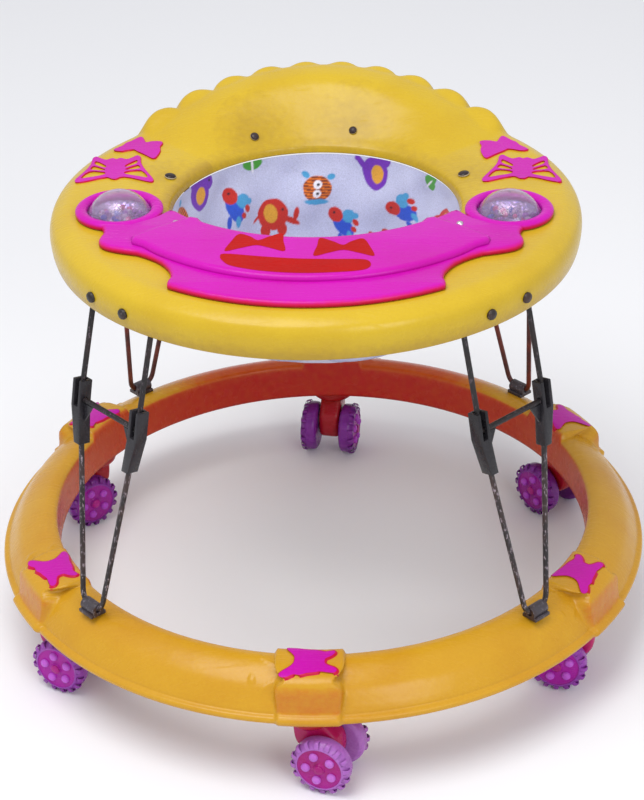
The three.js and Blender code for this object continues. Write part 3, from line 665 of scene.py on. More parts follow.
# ---- butterflies on the tray --------------------------------------------------------------
# Two raised magenta mouldings on each side of the deck: a small solid butterfly, and behind the
# dome a large one whose wings are open bars like a fan.
small_wings = [
    (-22.0, -4.0), (-15.0, 3.5), (-12.0, 9.5), (-8.0, 13.0), (-2.4, 20.0), (0.6, 21.0), (3.0, 16.0),
    (5.4, 10.6),
    (11.0, 12.6), (18.4, 12.4), (20.6, 9.0), (19.0, 2.0), (20.2, -6.0), (18.0, -17.0), (15.2, -20.0),
    (9.0, -14.6), (3.4, -9.6), (-0.6, -6.2), (-4.0, -3.0), (-10.0, -4.4), (-16.0, -6.6),
]
fan_wings = [
    (-32.0, -22.0), (-33.4, -17.4), (-28.6, -6.0), (-24.4, 4.0), (-21.6, 14.0), (-20.6, 25.6), (-17.6, 28.6),
    (-14.0, 25.0), (-9.0, 21.6), (-3.6, 24.6), (0.0, 22.4), (3.6, 24.6), (9.0, 21.6), (14.0, 25.0),
    (17.6, 28.6), (20.6, 25.6), (21.6, 14.0), (24.4, 4.0), (28.6, -6.0), (33.4, -17.4), (32.0, -22.0),
    (26.0, -21.0), (14.0, -15.4), (6.0, -13.6), (2.0, -17.0), (-2.0, -17.0), (-6.0, -13.6), (-14.0, -15.4),
    (-26.0, -21.0),
]
bar_gaps = [
    [(8.6, 10.0), (17.6, 19.2), (18.2, 12.6), (9.4, 6.0)],
    [(9.6, 3.0), (19.0, 9.0), (21.4, 2.4), (9.8, 0.0)],
    [(9.6, -3.0), (22.6, -1.6), (28.8, -14.4), (20.0, -12.4), (9.0, -8.0)],
]


def swung(points, turn, centre, mirror=1):
    """The outline turned, mirrored and moved to its place on the deck."""
    c, s = math.cos(math.radians(turn)), math.sin(math.radians(turn))
    return [(centre[0] + mirror * (x * c - y * s), centre[1] + x * s + y * c) for x, y in points]


for side, mirror in (("left", 1), ("right", -1)):
    small_centre = (-172.0 * mirror, 107.0)
    large_centre = (-188.0 * mirror, 56.0)
    small = swung(closed_line([(1.05 * x, 1.2 * y) for x, y in small_wings], 3), 0, small_centre, mirror)
    large = swung(closed_line([(1.07 * x, 1.12 * y) for x, y in fan_wings], 3), 4, large_centre, mirror)
    gaps = []
    for gap in bar_gaps:
        gap = [(1.07 * x, 1.12 * y) for x, y in gap]
        gaps.append(swung(closed_line(gap, 3), 4, large_centre, mirror))
        gaps.append(swung(closed_line([(-x, y) for x, y in gap], 3), 4, large_centre, mirror))
    add_inlay(f"tray_butterfly_small_{side}", small, tray_top, 1.6, "tray",
              magenta_paint, shaded_edge_paint)
    add_inlay(f"tray_butterfly_large_{side}", large, tray_top, 1.4, "tray",
              magenta_paint, shaded_edge_paint, gaps)

# ---- play tray ----------------------------------------------------------------------------
# A glossy magenta top formed in one piece, screwed to the deck: a plateau that steps down to a
# lower front rim, wings out to the domes, and a raised ring round each dome.
play_low = 356.3
play_high = 361.3
play_radius = 217.0
edge_turn = math.radians(32)
wing_x, wing_y = dome_places["right"]


def curve_points(start, handle, end, steps=10):
    return [tuple((1 - t) ** 2 * a + 2 * t * (1 - t) * b + t * t * c for a, b, c in zip(start, handle, end))
            for t in (i / steps for i in range(1, steps + 1))]


front_edge = [(play_radius * math.sin(t), -play_radius * math.cos(t))
              for t in (edge_turn * i / 30 for i in range(31))]
edge_x, edge_y = front_edge[-1]
half = front_edge + curve_points(front_edge[-1], (edge_x + 2.4, edge_y + 6), (edge_x - 0.5, edge_y + 13), 5)
half += curve_points(half[-1], (edge_x - 2, edge_y + 24), (edge_x + 5, edge_y + 36), 8)
half += curve_points(half[-1], (edge_x + 12, edge_y + 50), (wing_x - 25, wing_y - 87), 10)
half += curve_points(half[-1], (wing_x - 6, wing_y - 82), (wing_x + 1, wing_y - 78), 6)
half += curve_points(half[-1], (wing_x + 14, wing_y - 70), (wing_x + 9, wing_y - 55), 8)
half += curve_points(half[-1], (wing_x + 6, wing_y - 46), (wing_x + 12, wing_y - 36), 6)
half += curve_points(half[-1], (wing_x + 4, wing_y - 26), (wing_x - 23, wing_y - 24), 6)
half += curve_points(half[-1], (wing_x - 34, wing_y - 20), (130.0, wing_y - 6), 6)
half += curve_points(half[-1], (126.0, wing_y - 2), (123.6, wing_y - 5), 5)
arc_start = math.atan2(wing_y - 8 - front_arc_centre, 122.2)
arc = [arc_start + (-math.pi / 2 - arc_start) * i / 36 for i in range(37)]
half += [((front_arc - 1.6) * math.cos(t), front_arc_centre + (front_arc - 1.6) * math.sin(t)) for t in arc]
play_outline = half + [(-x, y) for x, y in reversed(half[1:-1])]


def shrunk(outline, distance):
    """A closed outline, running anticlockwise, with every side moved in."""
    count = len(outline)
    moved = []
    for i, (x, y) in enumerate(outline):
        (x0, y0), (x1, y1) = outline[i - 1], outline[(i + 1) % count]
        dx, dy = x1 - x0, y1 - y0
        length = math.hypot(dx, dy) or 1
        moved.append((x - dy / length * distance, y + dx / length * distance))
    return moved


def upward(points, triangle, side):
    """The triangle, turned to face up for side 1 and down for -1."""
    (x0, y0, _), (x1, y1, _), (x2, y2, _) = (points[i] for i in triangle)
    turn = (x1 - x0) * (y2 - y0) - (x2 - x0) * (y1 - y0)
    return triangle if turn * side > 0 else tuple(reversed(triangle))


def slab_from(outline, layers):
    """Points and faces of a closed slab whose edge follows (inset, height) layers upwards."""
    points = []
    for inset, height in layers:
        points += [(x, y, height) for x, y in shrunk(outline, inset)]
    count = len(outline)
    faces = []
    for start in range(0, (len(layers) - 1) * count, count):
        for i in range(count):
            after = (i + 1) % count
            faces.append((start + i, start + after, start + count + after, start + count + i))
    last = (len(layers) - 1) * count
    top = tessellate_polygon([[Vector((x, y, 0)) for x, y, _ in points[last:]]])
    bottom = tessellate_polygon([[Vector((x, y, 0)) for x, y, _ in points[:count]]])
    faces += [upward(points, tuple(last + i for i in triangle), 1) for triangle in top]
    faces += [upward(points, tuple(triangle), -1) for triangle in bottom]
    return points, faces


play_layers = [
    (0.0, play_low), (0.1, play_low + 2.2), (0.7, play_low + 3.6), (1.9, play_low + 4.6), (3.6, play_high),
    (5.2, play_high + 0.3),
]
slab_points, slab_faces = slab_from(play_outline, play_layers)
# Painted shade: the edge shade mask brings in red on the lower layers of the slab's edge and on the lower
# outside of the dome rings.
play_paint = moulded("play_plastic", colour(192, 16, 168), colour(180, 13, 144), 0.4,
                     ("edge_shade", colour(200, 24, 92), colour(186, 16, 40)), shine=0.16)
play_piece = add_mesh(
    "play_tray_top", [spot(x, y, z) for x, y, z in slab_points], slab_faces, "tray",
    ["play_tray"], play_paint,
)
edge_shade_shares = [0.85, 0.7, 0.3, 0.12, 0.0, 0.0]
paint_mask(play_piece, "edge_shade", [share for share in edge_shade_shares for _ in play_outline])

# raised plateau behind the front rim
plateau = []
for i in range(41):
    t = math.radians(-148 + 116 * i / 40)
    plateau.append((189 * math.cos(t), 184 * math.sin(t) + 3))
inner_line = [((front_arc + 4) * math.cos(t), front_arc_centre + (front_arc + 4) * math.sin(t))
              for t in (math.radians(-46 - 88 * i / 30) for i in range(31))]
plateau_outline = [p for p in plateau if p[1] < -96] + inner_line
plateau_outline = closed_line(plateau_outline[::2], 2)
if sum(a[0] * b[1] - b[0] * a[1] for a, b in zip(plateau_outline, plateau_outline[1:])) < 0:
    plateau_outline.reverse()
plateau_layers = [
    (0.0, play_high - 1), (0.5, play_high + 2.2), (1.6, play_high + 4.2), (3.6, play_high + 5.2),
    (6, play_high + 5.4),
]
plateau_points, plateau_faces = slab_from(plateau_outline, plateau_layers)
add_mesh(
    "play_tray_plateau", [spot(x, y, z) for x, y, z in plateau_points], plateau_faces, "tray",
    (), play_paint,
)
print_height = plateau_layers[-1][1] + 0.1


def revolved(profile, centre, steps=64):
    """Points and faces of a profile of (radius, height) turned round an upright axis."""
    points = []
    for i in range(steps):
        t = 2 * math.pi * i / steps
        points += [spot(centre[0] + r * math.cos(t), centre[1] + r * math.sin(t), z) for r, z in profile]
    return points, ring_faces(steps, len(profile), closed_columns=False)


ring_profile = round_line([
    (39.0, play_low), (39.2, play_low + 3), (38.0, play_high - 0.2), (35.4, play_high + 1.2),
    (32.0, play_high + 1.0), (29.6, play_high - 0.2), (28.5, play_high - 2.0), (28.4, play_low),
], 4)
for side, centre in dome_places.items():
    points, faces = revolved(ring_profile, centre)
    ring = add_mesh(f"dome_ring_{side}", points, faces, "tray", (), play_paint)
    paint_mask(ring, "edge_shade", [
        0.85 * (1 - smooth_step(play_low, play_high, z)) * (1 if r > 35 else 0)
        for _ in range(64) for r, z in ring_profile
    ])

# ---- red prints on the play tray ----------------------------------------------------------
# Two bows and a smile-shaped band in red ink, printed onto the plateau.
red_print = moulded("red_print", colour(176, 14, 8), colour(154, 10, 8), 0.9, shine=0.05)
left_bow = [(-71, -134), (-67, -116), (-61, -101), (-51, -106), (-44, -113), (-35, -106), (-24, -100),
            (-22, -115), (-20, -134), (-33, -128), (-45, -123), (-59, -129)]
right_bow = [(-x - 15, y - 9) for x, y in reversed(left_bow)]
smile = [(-70, -139), (-40, -144), (-10, -148), (18, -149), (44, -149), (52, -153), (53, -163), (45, -170),
         (20, -174), (-8, -175), (-38, -171), (-63, -162), (-71, -153), (-74, -145)]


def on_play(x, y, height):
    return spot(x, y, print_height + height)


for name, outline in (("bow_left", left_bow), ("bow_right", right_bow), ("smile", smile)):
    work = flat_sheet(closed_line(outline, 5), (), 12)
    work.verts.index_update()
    add_mesh(
        f"print_{name}", [on_play(v.co.x, v.co.y, 0.05) for v in work.verts],
        [[v.index for v in f.verts] for f in work.faces], "tray", (), red_print,
    )
    work.free()

# ---- screws of the play tray --------------------------------------------------------------
# Small plated pan-head screws with a cross recess hold the play tray down to the deck.
screw_paint, screw_tree = new_finish("plated_screw", Metallic=1.0, Base_Color=colour(214, 208, 214))
onto_shader(screw_tree, Roughness=remapped(screw_tree, noise(screw_tree, None, 900.0), 0.0, 1.0, 0.2, 0.45))
for number, (x, y) in enumerate(((129, -70), (-119, -68))):
    points, faces = revolved([(0.05, 2.3), (1.6, 2.1), (2.8, 1.3), (3.2, 0.0)], (x, y), 20)
    points = [p + Vector((0, 0, (play_high + 0.2) / 1000)) for p in points]
    add_mesh(f"play_screw_{number + 1}", points, faces, "tray", (), screw_paint)

# ---- domes, dishes and beads --------------------------------------------------------------
# Clear formed caps over bright foil dishes that hold loose coloured beads, trapped by the ring.
clear_paint, clear_tree = new_finish(
    "clear_plastic", Transmission_Weight=0.9, IOR=1.35, Base_Color=colour(232, 216, 236),
)
haze = noise(clear_tree, object_place(clear_tree), 120.0, 4.0)
onto_shader(clear_tree, Roughness=remapped(clear_tree, haze, 0.4, 0.8, 0.06, 0.22))

foil_paint, foil_tree = new_finish("bright_foil", Metallic=0.85, Roughness=0.24)
crinkle = add_node(foil_tree, "ShaderNodeTexVoronoi", {"Vector": object_place(foil_tree), "Scale": 260.0})
onto_shader(
    foil_tree,
    Base_Color=two_tones(foil_tree, crinkle.outputs["Color"], colour(164, 166, 216), colour(246, 244, 252)),
    Normal=dented(foil_tree, crinkle.outputs["Distance"], 0.7, 0.0012),
)

random.seed(7)
dome_radius = 28.0
dome_height = 19.5
dish_floor = 348.4
beads_per_dome = 24
bead_paints = [moulded(f"bead_{i + 1}", colour(*tone), colour(*[v * 0.7 for v in tone]), 0.2)
               for i, tone in enumerate([(92, 110, 214), (214, 210, 226), (170, 120, 200), (226, 120, 170)])]
for side, centre in dome_places.items():
    cap = []
    ball = (dome_radius ** 2 + dome_height ** 2) / (2 * dome_height)
    dome_top = play_low + 0.6 + dome_height
    for i in range(25):
        t = math.asin(dome_radius / ball) * (1 - i / 24)
        cap.append((max(ball * math.sin(t), 0.02), dome_top - ball * (1 - math.cos(t))))
    inner_cap = [(max(r * 0.955, 0.02), play_low + (z - play_low) * 0.94 - 0.4) for r, z in reversed(cap)]
    points, faces = revolved(cap + inner_cap, centre, 72)
    add_mesh(f"dome_cap_{side}", points, faces, "tray", [f"dome_{side}"], clear_paint)
    dish = round_line([(28.8, 356.0), (28.2, 353.6), (24, 349.0), (14, 347.4), (0.05, 347.2)], 5)
    points, faces = revolved(dish, centre, 60)
    add_mesh(f"dome_dish_{side}", points, faces, "tray", [f"dome_cup_{side}"], foil_paint)
    for number in range(beads_per_dome):
        t = random.uniform(0, 2 * math.pi)
        r = 22 * math.sqrt(random.random())
        size = random.uniform(2.0, 3.2)
        height = dish_floor + size + random.uniform(0, 3)
        bpy.ops.mesh.primitive_uv_sphere_add(
            segments=14, ring_count=8, radius=size / 1000,
            location=spot(centre[0] + r * math.cos(t), centre[1] + r * math.sin(t), height),
        )
        bead = bpy.context.object
        bead.name = f"bead_{side}_{number + 1}"
        bead.data.materials.append(bead_paints[number % 4])
        for polygon in bead.data.polygons:
            polygon.use_smooth = True
        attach(bead, "tray")

# ---- caster forks -------------------------------------------------------------------------
# Moulded magenta shields between the wheels of each pair, rounded over at the top and tapering
# to the axle, with a round collar that turns under the ring. The stem stays out of sight.
joints = {joint["name"]: joint for joint in frame["joints"]}
caster_names = ["front", "front_right", "rear_right", "rear", "rear_left", "front_left"]
# The fork shade mask brings in dark reds as painted shade.
fork_paint = moulded("caster_plastic", colour(184, 22, 118), colour(166, 18, 66), 0.9,
                     ("fork_shade", colour(176, 22, 50), colour(152, 18, 14)))


def box_middle(name):
    low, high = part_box(name)
    return (low + high) / 2


def caster_frame(name):
    """Swivel foot on the floor, trail direction, axle direction, and the axle's middle."""
    pivot = Vector(joints["swivel_" + name]["pos_m"])
    first, second = box_middle(f"wheel_{name}_a"), box_middle(f"wheel_{name}_b")
    axle = (first - second).normalized()
    middle = (first + second) / 2
    trail = Vector((middle.x - pivot.x, middle.y - pivot.y, 0)).normalized()
    return Vector((pivot.x, pivot.y, 0)), trail, axle, middle


wheel_low, wheel_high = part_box("wheel_front_a")
wheel_radius = (wheel_high.z - wheel_low.z) / 2
pair_half = (box_middle("wheel_front_a") - box_middle("wheel_front_b")).length / 2
wheel_width = 0.017
fork_half = pair_half - wheel_width / 2 - 0.0012
collar_high = ring_foot + 0.0018
for name in caster_names:
    foot, trail, axle, middle = caster_frame(name)
    reach = (middle - foot).dot(trail)
    hub = middle.z
    side = [
        (-0.0125, collar_high - 0.006), (-0.0135, collar_high - 0.020), (-0.0100, hub + 0.008),
        (reach - 0.0120, hub - 0.006), (reach - 0.006, hub - 0.0105), (reach + 0.003, hub - 0.0105),
        (reach + 0.0100, hub - 0.005), (reach + 0.0125, hub + 0.006), (reach + 0.011, hub + 0.018),
        (reach + 0.004, hub + 0.0265), (reach - 0.006, collar_high - 0.008), (0.006, collar_high - 0.004),
    ]
    outline = closed_line(side, 5)
    if sum(a[0] * b[1] - b[0] * a[1] for a, b in zip(outline, outline[1:])) < 0:
        outline.reverse()
    layers = []
    for share in (-1.0, -0.96, -0.86, -0.7, -0.4, 0.0, 0.4, 0.7, 0.86, 0.96, 1.0):
        inset = 0.0042 * (1 - math.sqrt(max(0.0, 1 - max(0.0, (abs(share) - 0.55) / 0.45) ** 2)))
        layers.append((inset, share * fork_half))
    flat_points, faces = slab_from(outline, layers)
    points = [foot + trail * x + Vector((0, 0, z)) + axle * across for x, z, across in flat_points]
    collar_points = []
    collar_profile = round_line([
        (0.0052, collar_high - 0.030), (0.0130, collar_high - 0.019), (0.0205, ring_foot - 0.0108),
        (0.0228, ring_foot - 0.0078), (0.0232, ring_foot - 0.0028), (0.0216, ring_foot - 0.0010),
        (0.0150, ring_foot - 0.0007), (0.0136, collar_high - 0.0004), (0.0052, collar_high),
    ], 4)
    steps = 40
    for i in range(steps):
        t = 2 * math.pi * i / steps
        for r, z in collar_profile:
            collar_points.append(foot + Vector((r * math.cos(t), r * math.sin(t), z)))
    shift = len(points)
    points += collar_points
    collar_faces = ring_faces(steps, len(collar_profile), closed_columns=False)
    faces += [tuple(shift + k for k in face) for face in collar_faces]
    fork = add_mesh(f"caster_fork_{name}", points, faces, "caster_" + name,
                    ["caster_body_" + name], fork_paint)
    # Painted shade: the rear forks are dark all over, and every fork darkens towards its top under the ring.
    rear_shade = 0.8 if name.startswith("rear") else 0.06
    paint_mask(fork, "fork_shade", [
        min(1.0, 0.9 * smooth_step(collar_high - 0.020, collar_high - 0.006, p.z) + rear_shade)
        for p in points
    ])

# ---- caster axles -------------------------------------------------------------------------
# Plain steel pins through fork and wheels. A magenta cap is pushed on over each domed head.
pin_paint, pin_tree = new_finish("axle_steel", Metallic=1.0)
pin_grain = noise(pin_tree, None, 500.0, 4.0)
onto_shader(
    pin_tree,
    Base_Color=two_tones(pin_tree, pin_grain, colour(96, 78, 88), colour(196, 180, 190)),
    Roughness=remapped(pin_tree, pin_grain, 0.0, 1.0, 0.25, 0.6),
)


def turned_about(profile, middle, axle, up, steps):
    """A profile of (distance along the axle, radius) turned about the axle."""
    side = axle.cross(up)
    points = []
    for i in range(steps):
        t = 2 * math.pi * i / steps
        out = up * math.cos(t) + side * math.sin(t)
        points += [middle + axle * along + out * radius for along, radius in profile]
    return points, ring_faces(steps, len(profile), closed_columns=False)


upright = Vector((0, 0, 1))
cap_paint = moulded("axle_cap", colour(168, 20, 130), colour(140, 12, 92), 0.9)
for name in caster_names:
    foot, trail, axle, middle = caster_frame(name)
    end = pair_half + wheel_width / 2
    profile = [(-end - 0.0016, 0.0001), (-end - 0.0014, 0.0018), (-end - 0.0002, 0.0034), (-end, 0.0024),
               (end, 0.0024), (end + 0.0002, 0.0034), (end + 0.0014, 0.0018), (end + 0.0016, 0.0001)]
    points, faces = turned_about(profile, middle, axle, upright, 24)
    add_mesh(f"axle_pin_{name}", points, faces, "caster_" + name,
             ["caster_axle_" + name], pin_paint)
    for letter, outward in (("a", axle), ("b", -axle)):
        points, faces = turned_about(
            [(end + 0.0009, 0.0046), (end + 0.0016, 0.0045), (end + 0.0022, 0.0036), (end + 0.0025, 0.0018),
             (end + 0.0026, 0.0001)],
            middle, outward, upright, 28,
        )
        add_mesh(f"axle_cap_{name}_{letter}", points, faces, "caster_" + name,
                 (), cap_paint)

# ---- wheels -------------------------------------------------------------------------------
# Two-shot moulded wheels: a pale lilac tread with square lugs round its outer edge, and a
# magenta face that carries five pale round nubs and a small hub.
# Painted shade: the wheel shade mask darkens tread, face and nubs, the rear wheels most.
tread_paint = moulded("wheel_tread", colour(188, 126, 200), colour(146, 76, 164), 1.0,
                      ("wheel_shade", colour(146, 60, 166), colour(104, 24, 122)))
face_paint = moulded("wheel_face", colour(172, 20, 132), colour(146, 12, 92), 0.9,
                     ("wheel_shade", colour(164, 18, 156), colour(134, 12, 124)))
nub_paint = moulded("wheel_nub", colour(196, 118, 206), colour(166, 78, 182), 0.9,
                    ("wheel_shade", colour(190, 88, 208), colour(158, 48, 176)))
half_width = wheel_width / 2
tread = wheel_radius - 0.0016
tread_profile = round_line([
    (-half_width, 0.0045), (-half_width, 0.020), (-half_width + 0.0006, tread - 0.0028),
    (-half_width + 0.0028, tread - 0.0002), (0.0, tread + 0.0002), (half_width - 0.0052, tread - 0.0004),
    (half_width - 0.0016, tread - 0.0030), (half_width - 0.0002, tread - 0.0048),
    (half_width - 0.0004, tread - 0.0060),
], 4)
face_profile = round_line([
    (half_width - 0.0004, tread - 0.0060), (half_width - 0.0012, tread - 0.0068),
    (half_width - 0.0012, 0.012),
    (half_width - 0.0010, 0.0062), (half_width + 0.0004, 0.0050), (half_width + 0.0006, 0.0028),
], 4)
lug_count = 16
nub_count = 5
nub_circle = 0.0128
nub_profile = [(0.0, 0.0042), (0.0014, 0.0041), (0.0025, 0.0035), (0.0033, 0.0021), (0.0035, 0.0002)]
# A lug's layers from its root to its outer end: along the axle, out from it, and half its width.
lug_layers = [
    (half_width - 0.0064, tread - 0.0012, 0.0026), (half_width - 0.0060, wheel_radius - 0.0008, 0.0023),
    (half_width - 0.0052, wheel_radius, 0.0020), (half_width - 0.0022, wheel_radius - 0.0006, 0.0020),
    (half_width - 0.0008, wheel_radius - 0.0022, 0.0022), (half_width - 0.0003, tread - 0.0042, 0.0025),
]


def wheel_shade_share(name, point):
    """How much painted shade darkens a wheel: hardly at the front, most at the back and low down by the
    floor.
    """
    share = {"front": 0.04, "front_left": 0.42, "front_right": 0.5}.get(name, 0.8)
    return share + 0.18 * smooth_step(wheel_radius * 1.2, 0.002, point.z)

for name in caster_names:
    foot, trail, axle, middle = caster_frame(name)
    for letter, outward in (("a", axle), ("b", -axle)):
        node_name = f"wheel_{name}_{letter}"
        centre = box_middle(node_name)
        side = outward.cross(upright)
        points, faces = turned_about(tread_profile, centre, outward, upright, 72)
        materials = [0] * len(faces)
        more, more_faces = turned_about(face_profile, centre, outward, upright, 72)
        faces += [tuple(len(points) + k for k in face) for face in more_faces]
        materials += [1] * len(more_faces)
        points += more
        turn_off = random.uniform(0, 6)
        for i in range(lug_count):
            t = turn_off + 2 * math.pi * i / lug_count
            out = upright * math.cos(t) + side * math.sin(t)
            run = outward.cross(out)
            start = len(points)
            size = random.uniform(0.92, 1.08)
            for along, high, wide in lug_layers:
                for across in (-1, -0.8, 0.8, 1):
                    drop = 0.0008 if abs(across) == 1 and high > tread - 0.001 else 0
                    sideways = run * (across * wide * size)
                    points.append(centre + outward * along + out * (high - drop) + sideways)
            for k in range(5):
                for m in range(3):
                    a = start + 4 * k + m
                    faces.append((a, a + 4, a + 5, a + 1))
                    materials.append(0)
                faces.append((start + 4 * k, start + 4 * k + 3, start + 4 * k + 7, start + 4 * k + 4))
                materials.append(0)
            faces.append((start, start + 1, start + 2, start + 3))
            faces.append((start + 23, start + 22, start + 21, start + 20))
            materials += [0, 0]
        for i in range(nub_count):
            t = turn_off + 2 * math.pi * (i + 0.5) / nub_count
            out = upright * math.cos(t) + side * math.sin(t)
            at = centre + out * nub_circle + outward * (half_width - 0.0014)
            nub, nub_faces = turned_about(nub_profile, at, outward, upright, 20)
            faces += [tuple(len(points) + k for k in face) for face in nub_faces]
            materials += [2] * len(nub_faces)
            points += nub
        wheel = add_mesh(f"wheel_{name}_{letter}_moulding", points, faces, node_name,
                         [node_name], tread_paint)
        wheel.data.materials.append(face_paint)
        wheel.data.materials.append(nub_paint)
        for polygon, index in zip(wheel.data.polygons, materials):
            polygon.material_index = index
        paint_mask(wheel, "wheel_shade", [wheel_shade_share(name, p) for p in points])
        face_outward(wheel)

# ---- leg wires ----------------------------------------------------------------------------
# Each leg is two bent steel wires in a dark dipped coating that has chipped to grey: a V whose
# foot turns in the ring's bracket, and a square bail whose bottom bar is the knee.
leg_azimuths = {"front_left": 225, "front_right": -45, "rear_right": 45, "rear_left": 135}
wire_radius = 0.0025
wire_pitch = 0.012
ring_middle = Vector((0, middle_y, 0))


def out_and_up(point):
    point = Vector(point)
    return math.hypot(point.x, point.y - middle_y), point.z


foot_out, foot_up = out_and_up(joints["fold"]["pos_m"])
knee_out, knee_up = out_and_up(joints["knee_rear_left"]["pos_m"])
tray_out, tray_up = out_and_up(joints["tray_tilt"]["pos_m"])
foot_half, knee_half = 0.013, 0.0395
lower_run = Vector((knee_out - foot_out, 0, knee_up - foot_up))


def leg_point(azimuth, out, along, up):
    a = math.radians(azimuth)
    return ring_middle + Vector((
        out * math.cos(a) - along * math.sin(a), out * math.sin(a) + along * math.cos(a), up,
    ))


def bent(points, radius, steps=7):
    """A line with its corners rounded to a bend radius."""
    line = [points[0]]
    for before, corner, after in zip(points, points[1:], points[2:]):
        back, ahead = (before - corner), (after - corner)
        reach = min(radius, back.length * 0.48, ahead.length * 0.48)
        start, end = corner + back.normalized() * reach, corner + ahead.normalized() * reach
        for i in range(steps + 1):
            t = i / steps
            line.append(start * (1 - t) ** 2 + corner * 2 * t * (1 - t) + end * t * t)
    return line + [points[-1]]


def tube(line, radius, steps=14):
    """Points and faces of a round wire along a line, closed at both ends."""
    points, faces = [], []
    side = None
    for i, point in enumerate(line):
        run = (line[min(i + 1, len(line) - 1)] - line[max(i - 1, 0)]).normalized()
        if side is None:
            side = run.orthogonal().normalized()
        side = (side - run * side.dot(run)).normalized()
        other = run.cross(side)
        for k in range(steps):
            t = 2 * math.pi * k / steps
            points.append(point + (side * math.cos(t) + other * math.sin(t)) * radius)
    for i in range(len(line) - 1):
        for k in range(steps):
            n = (k + 1) % steps
            faces.append((i * steps + k, i * steps + n, (i + 1) * steps + n, (i + 1) * steps + k))
    faces.append(tuple(reversed(range(steps))))
    faces.append(tuple((len(line) - 1) * steps + k for k in range(steps)))
    return points, faces


def subdivided(line, pitch):
    """The line with extra points, none further apart than the pitch."""
    fine = [line[0]]
    for a, b in zip(line, line[1:]):
        count = max(1, math.ceil((b - a).length / pitch))
        fine += [a + (b - a) * (i / count) for i in range(1, count + 1)]
    return fine


def coated_wire(name, dark, pale, rust, amount):
    """Dipped wire: dark coating, worn through to grey steel in long specks, with some rust."""
    paint, tree = new_finish(name)
    at = object_place(tree)
    long_grain = add_node(tree, "ShaderNodeMapping", {"Vector": at, "Scale": (520, 520, 210)})
    chips = noise(tree, long_grain.outputs[0], 1.0, 4.0, 0.65)
    worn = remapped(tree, chips, 0.60 - amount, 0.68 - amount)
    rusty = remapped(tree, noise(tree, at, 46.0, 3.0), 0.48, 0.62)
    onto_shader(
        tree,
        Base_Color=mixed(tree, worn, mixed(tree, rusty, dark, rust), pale),
        Metallic=reckoned(tree, "MULTIPLY", worn, 0.8),
        Roughness=remapped(tree, chips, 0.0, 1.0, 0.3, 0.65),
        Normal=dented(tree, chips, 0.5, 0.0004),
    )
    return paint


dark_wire = coated_wire("wire_dark", colour(14, 10, 12), colour(110, 98, 106), colour(30, 16, 17), 0.02)
grey_wire = coated_wire("wire_grey", colour(24, 17, 19), colour(158, 146, 154), colour(52, 34, 32), 0.05)
# Painted shade and painted reflection: the rear legs' wires get red-brown dark, pale and rust colours from
# the shade and from the orange ring and yellow tray nearby. The real wires are coated like the front ones.
rear_shaded_wire = coated_wire("wire_rear_shaded", colour(72, 26, 18), colour(116, 76, 62), colour(108, 36, 18), 0.03)
for place, azimuth in leg_azimuths.items():
    is_rear = place.startswith("rear")
    widening = knee_half - foot_half
    top = 1 - 0.011 / lower_run.length

    def on_lower(side, share):
        along = side * (foot_half + widening * share)
        return leg_point(azimuth, foot_out + lower_run.x * share, along, foot_up + lower_run.z * share)

    v_corners = [on_lower(-1, top), on_lower(-1, 0), on_lower(1, 0), on_lower(1, top)]
    line = subdivided(bent(v_corners, 0.012), wire_pitch)
    points, faces = tube(line, wire_radius)
    add_mesh(f"leg_lower_{place}", points, faces, "lower_leg_" + place,
             ["lower_wire_" + place], rear_shaded_wire if is_rear else grey_wire)
    corners_of_bail = [
        leg_point(azimuth, tray_out, -0.020, tray_up), leg_point(azimuth, tray_out, -knee_half, tray_up),
        leg_point(azimuth, knee_out, -knee_half, knee_up), leg_point(azimuth, knee_out, knee_half, knee_up),
        leg_point(azimuth, tray_out, knee_half, tray_up), leg_point(azimuth, tray_out, 0.020, tray_up),
    ]
    points, faces = tube(subdivided(bent(corners_of_bail, 0.005, 5), wire_pitch), wire_radius)
    add_mesh(f"leg_upper_{place}", points, faces, "upper_leg_" + place,
             ["upper_wire_" + place], rear_shaded_wire if is_rear else dark_wire)

# ---- knee clips ---------------------------------------------------------------------------
# Black moulded clips hold each V arm to the knee bar; the upper arm snaps into their open slot.
# Their edges are softened, and a thin gusset web fills the corner beside the bar.
clip_paint = moulded("black_plastic", colour(26, 24, 27), colour(58, 56, 62), 1.0)


rounded_from = math.radians(32)


def softened(node_name, name, width, body, paint):
    """The CAD node's own shape with its sharp edges rounded over."""
    work = bmesh.new()
    work.from_mesh(frame["nodes"][node_name].data)
    bmesh.ops.remove_doubles(work, verts=work.verts, dist=1e-5)
    bmesh.ops.dissolve_limit(work, angle_limit=math.radians(2), verts=work.verts, edges=work.edges)
    sharp = [e for e in work.edges if len(e.link_faces) == 2 and e.calc_face_angle(0) > rounded_from]
    bmesh.ops.bevel(
        work, geom=sharp, offset=width, segments=2, profile=0.6, affect="EDGES", clamp_overlap=True,
    )
    bmesh.ops.triangulate(work, faces=[f for f in work.faces if len(f.verts) > 4])
    mesh = bpy.data.meshes.new(name)
    work.to_mesh(mesh)
    work.free()
    for polygon in mesh.polygons:
        polygon.use_smooth = True
    mesh.set_sharp_from_angle(angle=math.radians(38))
    mesh.materials.clear()
    mesh.materials.append(paint)
    piece = bpy.data.objects.new(name, mesh)
    bpy.context.collection.objects.link(piece)
    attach(piece, body)
    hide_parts(node_name)
    return piece


